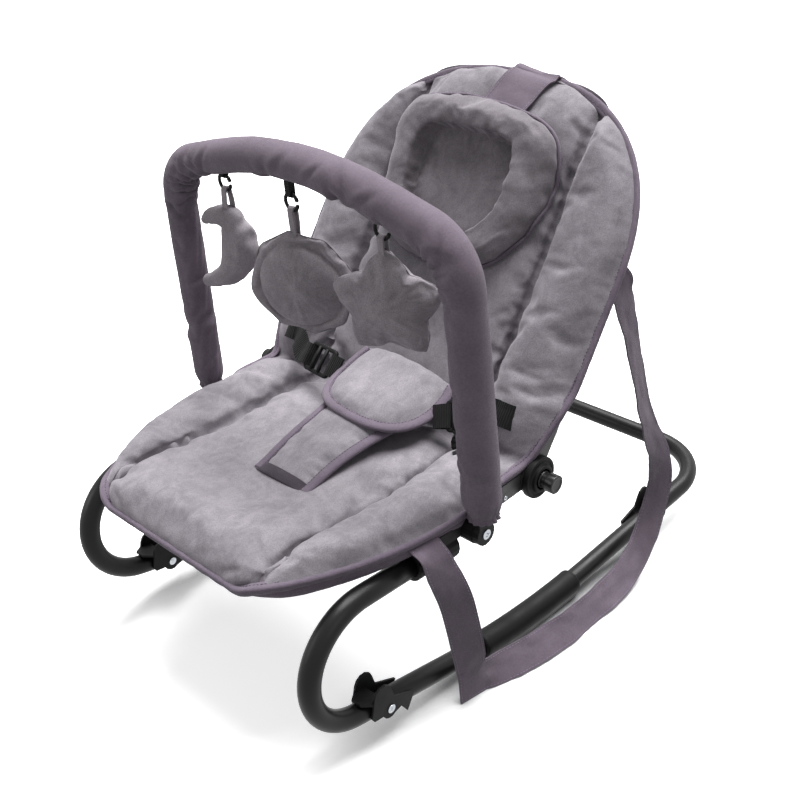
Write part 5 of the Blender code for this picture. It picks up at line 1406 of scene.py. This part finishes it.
def makeCrotch():
    rows, edges = [], {1: [], -1: []}
    for k in range(57):
        row = 7 * k / 56
        half = crotchHalf(row)
        lift = 0.002 * ease(1 - row)
        top, low = [], []
        for j in range(-14, 15):
            x = half * math.sin(math.radians(90 * j / 14))
            room = half - abs(x)
            puff = 0.0012 + 0.0062 * (1 - math.exp(-max(0, room - 0.0075) / 0.0065)) * ease(0.3 + row * 0.8)
            side = 1 if x > 0 else 2
            wave = crease(0.4, 2.2, row * 3.4, side * 7, room * 22)
            puff += 0.002 * wave * math.exp(-max(0, room - 0.01) / 0.009) * ease((room - 0.006) / 0.004)
            puff += 0.0007 * ruffle(row * 1.7, x * 50, 4)
            top.append(onHarness(row, x, lift + puff))
        for j in range(10, -11, -1):
            x = half * math.sin(math.radians(90 * j / 11))
            low.append(onHarness(row, x, lift - 0.001 - 0.0022 * (1 - (x / half) ** 4)))
        rows.append(top + low)
        for sign in (1, -1):
            edges[sign].append((onHarness(row, sign * half, lift + 0.0014),
                                onHarness(row, sign * half * 0.85, lift + 0.0014)))
    made = gridPiece("crotch_pad_look", rows, plush, wrap=True, ends=True)
    tidy(made)
    smoothed(made)
    mount(made, "base", "plush", "crotch_pad")
    for sign, side in ((1, "left"), (-1, "right")):
        boundEdge("crotch_binding_" + side, edges[sign])
    tab = []
    for k in range(13):
        row = 0.72 * k / 12
        half = crotchHalf(row) - 0.0045
        line = []
        for j in range(25):
            x = half * (j / 12 - 1)
            puff = 1 - math.exp(-max(0, half + 0.0045 - abs(x) - 0.0075) / 0.0065)
            level = 0.002 * ease(1 - row) + 0.0022 + 0.0062 * puff * ease(0.3 + row * 0.8)
            level += 0.0004 * ruffle(x * 60, row * 3) - 0.0012 * ease(row / 0.7 - 0.6)
            line.append(onHarness(row, x, level))
        tab.append(line)
    half = crotchHalf(0) - 0.0045
    start = [onHarness(0, half * (j / 12 - 1), -0.003) - seatUp * 0.004 for j in range(25)]
    # the tab is the canvas, coloured with painted shade
    cloth = gridPiece("crotch_slot_tab", [start] + tab, wovenShade)
    thicken(cloth, 0.0009, 0.0)
    applyModifiers(cloth)
    mount(cloth, "base", "woven_cloth")


def makeWaist():
    steps = 34
    places = [1 - math.cos(math.radians(90 * k / steps)) for k in range(steps + 1)]
    places[0] = 0.0006
    outline = [(share, -waistHalf(share)) for share in reversed(places)]
    outline += [(share, waistHalf(share)) for share in places[1:]]
    border = [onHarness(4.05 + 3.75 * share, x, harness["clear"]) for share, x in outline]
    fold = [onHarness(7.8, 0.0603 * (j / 20 - 1), harness["clear"]) for j in range(41)]
    rows = []
    for share in places:
        row, half = 4.05 + 3.75 * share, waistHalf(share)
        top, low = [], []
        for j in range(-17, 18):
            x = half * math.sin(math.radians(90 * j / 17))
            here = onHarness(row, x, harness["clear"])
            room = min((here - spot).length for spot in border)
            back = min((here - spot).length for spot in fold)
            puff = 0.0095 * (1 - math.exp(-max(0, room - 0.008) / 0.0085))
            puff = 0.002 + puff * (1 - math.exp(-back / 0.004)) ** 0.7
            wave = crease(0.4, 2.2, here.x * 90, here.y * 90, here.z * 60)
            puff += 0.0012 * wave * math.exp(-abs(room - 0.014) / 0.006) * (room > 0.008)
            puff += 0.0008 * ruffle(here.x * 32, here.y * 32, 6)
            top.append(onHarness(row, x, harness["clear"] + puff))
        for j in range(11, -12, -1):
            x = half * math.sin(math.radians(90 * j / 12))
            low.append(onHarness(row, x, harness["clear"] - 0.0001))
        rows.append(top + low)
    made = gridPiece("waist_pad_look", rows, plush, wrap=True, ends=True)
    tidy(made)
    smoothed(made)
    mount(made, "base", "plush", "waist_pad")
    edge = []
    for share, x in outline:
        inner = share + (0.6 - share) * 0.12
        edge.append((onHarness(4.05 + 3.75 * share, x, harness["clear"] + 0.003),
                     onHarness(4.05 + 3.75 * inner, x * 0.88, harness["clear"] + 0.003)))
    boundEdge("waist_binding", edge)


makeCrotch()
makeWaist()
print("stage: harness pads")


# Lap webbing, its ladder-lock buckles and the loose end

buckle = {"half": 0.017, "rail": 0.0023, "corner": 0.004, "arch": 0.0016,
          "bars": [(0.36, 0.001, 0.0021), (0.66, 0.0014, 0.0021)]}  # place along it, height, radius
lap = {"width": 0.025, "thick": 0.0016, "along": 0.046,
       "left": {"aim": (0.127, -0.081, 0.267), "long": 0.028},
       "right": {"aim": (-0.133, -0.09, 0.265), "long": 0.048},
       # out of the slot and over the pad: x, height over the cover
       "lying": [(0.169, -0.005), (0.1662, 0.001), (0.16, 0.0032), (0.153, 0.0036), (0.146, 0.0042)],
       # through the buckle and round the waist pad's bar: run, height
       "through": [(-0.012, 0.0024), (-0.003, 0.0046), (0.003, 0.0044), (0.0062, 0.0),
                   (0.01, -0.0032), (0.014, -0.0034)],
       "wrap": [(0.0135, 0.001), (0.006, 0.0034), (-0.001, 0.005), (-0.0052, 0.0026),
                (-0.0056, -0.001), (-0.002, -0.004), (0.005, -0.003), (0.0125, -0.0008)],
       "endWidth": 0.0225,
       "end": [(0.1285, -0.0985, 0.25), (0.1345, -0.106, 0.242), (0.141, -0.1125, 0.2385),
               (0.148, -0.119, 0.237)]}


def squared(angle, run):
    return 0.92 / (abs(math.cos(angle)) ** 4 + abs(math.sin(angle)) ** 4) ** 0.25


def makeBuckle(name, node, start, end, wide, outward):
    along = (end - start).normalized()
    length, half, rail = (end - start).length, buckle["half"], buckle["rail"]

    def at(share, across, height=0.0):
        arch = buckle["arch"] * math.sin(math.pi * min(1, max(0, share)))
        return start + along * (length * share) + wide * across + outward * (height + arch)

    ends = rail / length
    corners = [at(share, across) for share, across in (
        (0.5, half - rail), (1 - ends, half - rail), (1 - ends, -half + rail), (ends, -half + rail),
        (ends, half - rail), (0.5, half - rail))]
    loop = roundedPath(corners, [buckle["corner"]] * 4, 18)
    pieces = [sweep(name, loop, rail * 1.12, plastic, 16, outward, "open", squared)]
    for share, height, size in buckle["bars"]:
        spots = [at(share, half - rail * 1.2, height), at(share, 0, height + 0.0006),
                 at(share, -half + rail * 1.2, height)]
        pieces.append(sweep(name + "_bar", spots, size, plastic, 14, outward, "flat", squared))
    made = joinPieces(name, pieces)
    tidy(made, 0.00001)
    mount(made, "base", "black_plastic", node)


def makeLapWebbing():
    for side, sign in (("left", 1), ("right", -1)):
        waistEnd = onHarness(6.2, sign * (harness["waist"] + 0.002), 0.01)
        run = (waistEnd - Vector(lap[side]["aim"])).normalized()
        wide = Vector((0, 0.6, 0.8))
        wide = (wide - run * wide.dot(run)).normalized()
        outward = run.cross(wide)
        if outward.z < 0:
            outward.negate()
        near = waistEnd - run * 0.011
        far = near - run * lap[side]["long"]
        lying = []
        for x, lift in lap["lying"]:
            level = max(coverUp(sign * x, lap["along"] + s, "back") for s in (-0.008, 0, 0.008))
            lying.append(onBack(sign * x, lap["along"], level + lift))
        middle = Vector(lying[-1]).lerp(far, 0.35) + Vector((0, -0.004, 0.003))
        lying.append(middle)
        count = len(lying)
        lying += [far + run * s + outward * h for s, h in lap["through"]]
        path = [Vector(spot) for spot in curveThrough(lying, 6)]
        across = []
        for k in range(len(path)):
            share = ease((k / 6 - count + 2.5) / 2.5)
            across.append(backAlong.lerp(wide, share))
        made, _ = ribbon("webbing_%s_look" % side, path, across, lap["width"], lap["thick"], webbing, 10,
                         0.0006, sign + 3.0)
        mount(made, "base", "webbing", "webbing_" + side)
        runLengths(path)[-1]
        wrap = [near + run * s + outward * h for s, h in lap["wrap"]]
        path = [Vector(spot) for spot in curveThrough(wrap, 6)]
        made, _ = ribbon("waist_webbing_%s_look" % side, path, [wide] * len(path), lap["width"], 0.0014,
                         webbing, 8, 0.0002, 6.0)
        mount(made, "base", "webbing", "waist_webbing_" + side)
        runLengths(path)[-1]
        makeBuckle("buckle_%s_look" % side, "buckle_" + side, far, near, wide, outward)
        if side == "left":
            tail = [far.lerp(near, 0.35) - outward * 0.003,
                    far.lerp(near, 0.22) - outward * 0.0045 - wide * 0.012]
            tail += [Vector(spot) for spot in lap["end"]]
            for spot in tail[2:]:
                hit = settled(Vector((spot.x, spot.y, 0.32)), Vector((0, 0, -1)), spot)
                spot.z = max(spot.z, hit.z + 0.0022)
            path = [Vector(spot) for spot in curveThrough(tail, 6)]
            twist = [wide.lerp(Vector((-0.45, 0.85, 0.15)), ease(k / 14)) for k in range(len(path))]
            made, _ = ribbon("webbing_end_left_look", path, twist, lap["endWidth"], lap["thick"], webbing, 8,
                             0.0007, 2.0)
            mount(made, "base", "webbing", "webbing_end_left")
            runLengths(path)[-1]


makeLapWebbing()
print("stage: webbing")


# Hanging toys: tape, hook, tag and the stuffed shapes

toys = {"ringRadius": 0.0085, "wire": 0.0018, "opening": 0.0026, "tape": 0.0065,
        "moon": {"x": -0.114, "ring": 0.2871, "drop": 0.005, "tag": 0.018, "sink": 0.006, "turn": 28,
                 "spine": [(-0.0275, -0.0165, 0.0058), (-0.0235, -0.0145, 0.0078), (-0.013, -0.012, 0.0106),
                           (-0.002, -0.0155, 0.0134), (0.004, -0.027, 0.0166), (0.005, -0.044, 0.0192),
                           (-0.0005, -0.062, 0.0176), (-0.012, -0.0765, 0.0132), (-0.028, -0.0845, 0.0094),
                           (-0.0365, -0.086, 0.0072)]},
        "sun": {"x": -0.014, "ring": 0.2878, "drop": 0.0185, "tag": 0.0225, "sink": 0.006, "turn": 24,
                "radius": 0.052, "petal": 0.005, "petals": 8, "disc": 0.83},
        "star": {"x": 0.105, "ring": 0.2878, "drop": 0.0046, "tag": 0.0114, "sink": 0.012, "turn": 24,
                 "radius": 0.056, "inner": 0.0385}}


def toyAxes(name):
    turn = math.radians(toys[name]["turn"])
    across = Vector((math.cos(turn), 0, 0)) - barOut * math.sin(turn)
    return across, barOut * math.cos(turn) + Vector((math.sin(turn), 0, 0))


def tapeLoop(name, x, inner, leg, side, look, width, thickness, body, slotName, wave=0.0002, spread=0.75):
    reach = toys["opening"] + 0.0006
    spots = [(-reach * spread, leg), (-reach * (1 + spread) / 1.75, leg * 0.5)]
    for degrees in range(180, 361, 15):
        angle = math.radians(degrees)
        spots.append((reach * math.cos(angle), reach * math.sin(angle)))
    spots += [(reach * (1 + spread) / 1.75, leg * 0.5), (reach * spread, leg)]
    path = [onBar(x, inner + side * (height + toys["opening"]), out) for out, height in spots]
    made, _ = ribbon(name, path, [(1, 0, 0)] * len(path), width, thickness, look, 6, wave, 1.0)
    mount(made, body, slotName)
    return made


def closedShape(name, middle, radius, level, look, shares, points, across, out):
    rings = []
    for side, order in ((1, shares), (-1, list(reversed(shares[:-1])))):
        for share in order:
            ring = []
            for k in range(points):
                angle = 2 * math.pi * k / points
                reach = radius(angle, share)
                ring.append(middle + across * (reach * math.sin(angle)) + barUp * (reach * math.cos(angle))
                            + out * level(angle, share, side))
            rings.append(ring)
    made = gridPiece(name, rings, look, wrap=True, ends=True)
    made.data.validate()
    rim = len(shares) - 1
    return made, [rim * points + k for k in range(points)]


def finishToy(made, name):
    tidy(made, 0)
    smoothed(made)
    mount(made, "hanging_" + name, "plush", "toy_" + name)


def sunRadius(angle, share):
    facts = toys["sun"]
    step = 2 * math.pi / facts["petals"]
    place = (angle + step / 2 + 0.15 + 0.1 * math.sin(2 * angle)) % step - step / 2
    away = math.hypot(abs(place), 0.07) - 0.02
    corner = math.cos(step / 2) / math.cos(step / 2 - away)
    wide = (facts["radius"] + facts["petal"]) * (corner + 0.008 * math.sin(angle * 3 + 1))
    skirt = ease((share - facts["disc"]) / (1 - facts["disc"]))
    return share * (facts["radius"] + (wide - facts["radius"]) * skirt)


def sunLevel(angle, share, side):
    facts = toys["sun"]
    if share >= 1:
        return 0.003 * math.sin(3 * angle + 1.0)
    if share > facts["disc"]:
        over = (share - facts["disc"]) / (1 - facts["disc"])
        petal = 0.8 + 0.2 * math.cos(facts["petals"] * angle)
        rise = 0.0022 + 0.0044 * math.sin(math.pi * over) ** 0.7 * petal
        return side * rise * (1 - over ** 6) + 0.003 * math.sin(3 * angle + 1.0) * over
    dome = (1 - (share / facts["disc"]) ** 2.2) ** 0.5
    return side * (0.0016 + 0.015 * dome)


def starRadius(angle, share):
    facts = toys["star"]
    step = 2 * math.pi / 5
    away = abs((angle + step / 2) % step - step / 2) / (step / 2)
    reach = facts["inner"] + (facts["radius"] - facts["inner"]) * (1 - away) ** 1.25
    return share * (reach * share + (facts["radius"] + facts["inner"]) / 2 * (1 - share))


def starLevel(angle, share, side):
    step = 2 * math.pi / 5
    away = abs((angle + step / 2) % step - step / 2) / (step / 2)
    puff = max(0, 1 - share ** 2.8) ** 0.52
    puff *= 1 - 0.1 * (1 - away) ** 2 * share
    wave = crease(0.4, 2, math.cos(angle) * 5.5, math.sin(angle) * 5.5, side + share * 0.8)
    puff += 0.15 * wave * math.exp(-abs(share - 0.9) / 0.1) * (share < 1)
    return side * 0.0155 * puff


def makeToys():
    for name in ("moon", "sun", "star"):
        facts = toys[name]
        ring, x = facts["ring"], facts["x"]
        body = "hanging_" + name
        leg = facts["drop"] - toys["opening"] + 0.003
        tape = tapeLoop("toy_tape_%s_look" % name, x, ring + 0.0057, leg, 1, webbing, toys["tape"], 0.0011,
                        "toy_bar", "webbing")
        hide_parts("toy_tape_" + name)
        arc, radii = [], []
        for k in range(41):
            angle = math.radians(20 + 320 * k / 40)
            size = toys["ringRadius"]
            arc.append(onBar(x + size * math.cos(angle), ring + size * math.sin(angle)))
            radii.append(toys["wire"] * (1.0 if 2 < k < 38 else 1.12))
        hook = sweep("toy_hook_%s_look" % name, arc, radii, plastic, 14, (0, 1, 0), "round")
        mount(hook, body, "black_plastic", "toy_hook_" + name)
        tagAt = ring - 0.0057
        tapeLoop("toy_tag_" + name, x, tagAt, facts["tag"] - toys["opening"] + facts["sink"], -1, toyPlush,
                 toys["tape"] * 1.15, 0.0016, body, "plush", 0.0004, 1.5 if name == "moon" else 0.75)
        top = onBar(x, tagAt - facts["tag"])
        across, out = toyAxes(name)
        if name == "moon":
            spine = curveThrough(facts["spine"], 6)
            points = [top + across * a + barUp * h for a, h, _ in spine]

            def folds(angle, run):
                inside = max(0.0, math.cos(angle - math.pi)) ** 2
                value = 1 + 0.16 * inside * crease(0.4, 2.2, run * 90, math.sin(angle) * 1.4, 3)
                for spot, deep in ((0.036, 0.3), (0.108, 0.2)):
                    value -= deep * math.exp(-((run - spot) / 0.0032) ** 2) * inside
                value += 0.02 * ruffle(math.cos(angle) * 1.3, math.sin(angle) * 1.3, run * 34)
                for line in (math.pi / 2, 3 * math.pi / 2):
                    value -= 0.06 * math.exp(-((angle - line) / 0.1) ** 2)
                return value

            made = sweep("toy_moon_look", points, [size for _, _, size in spine], toyPlush, 32, across, "round",
                         folds)
            finishToy(made, name)
            continue
        outline, level = (sunRadius, sunLevel) if name == "sun" else (starRadius, starLevel)
        reach = facts["radius"] + (facts["petal"] if name == "sun" else 0)
        middle = top - barUp * reach
        shares = [0.03, 0.12, 0.22, 0.32, 0.42, 0.52, 0.61, 0.69, 0.76, 0.81, 0.838, 0.855, 0.88, 0.92, 0.955,
                  0.98, 0.994, 1]
        made, pinned = closedShape("toy_%s_look" % name, middle, outline, level, toyPlush, shares, 90,
                                        across, out)
        if name == "sun":
            seam = shares.index(0.838)
            for row in (seam, len(shares) * 2 - 2 - seam):
                pinned += [row * 90 + k for k in range(90)]
        swell(made, pinned, 0.003, -0.04, 1.2, 14)
        finishToy(made, name)
        border = [outline(2 * math.pi * k / 120, 1) for k in range(120)]
        rimLine = [middle + across * (r * math.sin(2 * math.pi * k / 120))
                   + barUp * (r * math.cos(2 * math.pi * k / 120)) + out * level(2 * math.pi * k / 120, 1, 1)
                   for k, r in enumerate(border)]
        seam = sweep("toy_%s_seam" % name, rimLine + [rimLine[0]], 0.0006, pillowShadeAndSeamPlush, 8, out, "open",
                     lambda angle, run: 1 + 0.25 * math.sin(run * 2400))
        mount(seam, body, "plush")


makeToys()
print("stage: toys")


# Hinge housings, push buttons, pins with cross recesses, rivets; the other CAD nodes get bevels and looks

hardware = {"hingeY": -0.061, "hingeZ": 0.2152, "housing": 0.1939, "face": 0.2055, "tip": 0.2215,
            "pinX": 0.2101, "pinY": -0.156, "pinZ": 0.198, "stopHalf": 0.0145,
            "frontY": -0.267, "rearY": 0.203,
            # turned profiles: run outwards from the value named above, radius
            "shell": [(-0.0054, 0.0), (-0.0054, 0.0118), (0.0, 0.0118), (0.0, 0.0225), (0.008, 0.0225),
                      (0.008, 0.019), (0.0068, 0.018), (0.0068, 0.0162), (0.008, 0.015)],
            "well": [(0.0, 0.0145), (0.0, 0.011), (-0.0088, 0.011), (-0.0088, 0.0)],
            "buttonFoot": [(-0.0034, 0.0), (-0.0034, 0.009), (-0.0004, 0.009), (0.0004, 0.0084)],
            "buttonHead": [(-0.01, 0.0082), (-0.01, 0.01), (0.0, 0.01), (0.0, 0.007),
                           (-0.0006, 0.0062), (-0.0006, 0.0)],
            "stopWasher": [(-0.0015, 0.0), (-0.0015, 0.003), (-0.0008, 0.0045), (0.0, 0.0046), (0.0, 0.0023)],
            "rivet": [(-0.001, 0.0), (-0.001, 0.0025), (0.0007, 0.0025), (0.0008, 0.0014),
                      (-0.0004, 0.001), (-0.0004, 0.0)],
            "kept": {"hinge_plate_lower": steel, "hinge_plate_upper": steel, "side_bracket": plastic,
                     "toy_bar_foot": plastic, "stop_front": plastic, "stop_rear": plastic}}


def turned(name, profile, sign, y, z, look, sides=64, recess=None):
    # a turned piece with its axis across the rocker, with a cross recess of (radius, half width, depth)
    rings = []
    for along, radius in profile:
        ring = []
        for k in range(sides):
            angle = 2 * math.pi * k / sides
            side, up = radius * math.cos(angle), radius * math.sin(angle)
            depth = 0.0
            if recess and radius < recess[0]:
                slope = math.radians(32)  # of the cross
                one = side * math.cos(slope) + up * math.sin(slope)
                two = up * math.cos(slope) - side * math.sin(slope)
                if min(abs(one), abs(two)) < recess[1]:
                    depth = recess[2] * (1 - (radius / recess[0]) ** 3)
            ring.append(Vector((sign * (along - depth), y + side, z + up)))
        rings.append(ring)
    made = gridPiece(name, rings, look, wrap=True, ends=True)
    tidy(made, 0.000005)
    made.data.set_sharp_from_angle(angle=math.radians(38))
    return made


def rounded(corners, radius, steps=4):
    made = [corners[0]]
    for before, here, after in zip(corners, corners[1:], corners[2:]):
        corner = Vector(here)
        arrive, leave = corner - Vector(before), Vector(after) - corner
        cutBack = min(radius, arrive.length * 0.45, leave.length * 0.45)
        start, end = corner - arrive.normalized() * cutBack, corner + leave.normalized() * cutBack
        for k in range(steps + 1):
            t = k / steps
            made.append(tuple(start * (1 - t) ** 2 + corner * 2 * t * (1 - t) + end * t ** 2))
    return made + [corners[-1]]


def pinHead(base, radius, height):
    # domed head of a pin, from its seat outwards
    spots = [(base, radius * 0.5), (base, radius * 0.96), (base + 0.0003, radius),
             (base + height * 0.45, radius * 0.99)]
    for k in range(1, 15):
        turn = math.pi / 2 * (k / 14)
        spots.append((base + height * (0.45 + 0.55 * math.sin(turn)), radius * math.cos(turn) * 0.99 + 1e-5))
    return spots


def profileAt(name, start):
    return [(start + run, radius) for run, radius in hardware[name]]


def makeHardware():
    y, z = hardware["hingeY"], hardware["hingeZ"]
    start, face, tip, pinX = (hardware[name] for name in ("housing", "face", "tip", "pinX"))
    for side, sign in (("left", 1), ("right", -1)):
        outline = rounded(profileAt("shell", start) + profileAt("well", face), 0.0016)
        housing = turned("hinge_housing_%s_look" % side, outline, sign, y, z, plastic)
        mount(housing, "base", "black_plastic", "hinge_housing_" + side)
        outline = rounded(profileAt("buttonFoot", face) + profileAt("buttonHead", tip), 0.0011)
        button = turned("recline_button_%s_look" % side, outline, sign, y, z, gloss)
        mount(button, "recline_button_" + side, "black_plastic", "recline_button_" + side)
        outline = [(pinX - 0.02, 0.0), (pinX - 0.02, 0.0023), (pinX, 0.0023)]
        pin = turned("toy_bar_pin_%s_look" % side, outline + pinHead(pinX, 0.0054, 0.0018), sign,
                     hardware["pinY"], hardware["pinZ"], zinc, 64, (0.0034, 0.00075, 0.0012))
        mount(pin, "base", "zinc", "toy_bar_pin_" + side)
        foot, end = base["railHalf"] - hardware["stopHalf"], base["railHalf"] + hardware["stopHalf"]
        outline = profileAt("stopWasher", foot) + [(end, 0.0023)] + pinHead(end, 0.0048, 0.0016)
        for place, spotY in (("front", hardware["frontY"]), ("rear", hardware["rearY"])):
            stud = turned("stop_pin_%s_%s_look" % (place, side), outline, sign, spotY, railZ(spotY), zinc, 56,
                          (0.003, 0.0007, 0.0011))
            mount(stud, "base", "zinc", "stop_pin_%s_%s" % (place, side))
        hookTop = hookPath(sign * base["railHalf"])[-1].z
        rivets = {"hook_rivet": ("base", base["railHalf"] + 0.0086, -0.302, hookTop - 0.004),
                  "lower_plate_rivet": ("base", 0.1908, -0.104, 0.2065),
                  "upper_plate_rivet": ("backrest", 0.1936, -0.0325, 0.2622)}
        for label, (body, spot, rivetY, rivetZ) in rivets.items():
            rivet = turned("%s_%s" % (label, side), rounded(profileAt("rivet", spot), 0.0004), sign, rivetY,
                           rivetZ, zinc, 40)
            mount(rivet, body, "zinc")
    for name, look in hardware["kept"].items():
        for side in ("left", "right"):
            piece = bpy.data.objects["%s_%s" % (name, side)]
            piece.data.materials.clear()
            piece.data.materials.append(look)
            edge = piece.modifiers.new("edge", "BEVEL")
            edge.width, edge.segments, edge.limit_method = 0.0007, 3, "ANGLE"
            edge.angle_limit = math.radians(32)
            edge.use_clamp_overlap = True


makeHardware()
print("stage: hardware")
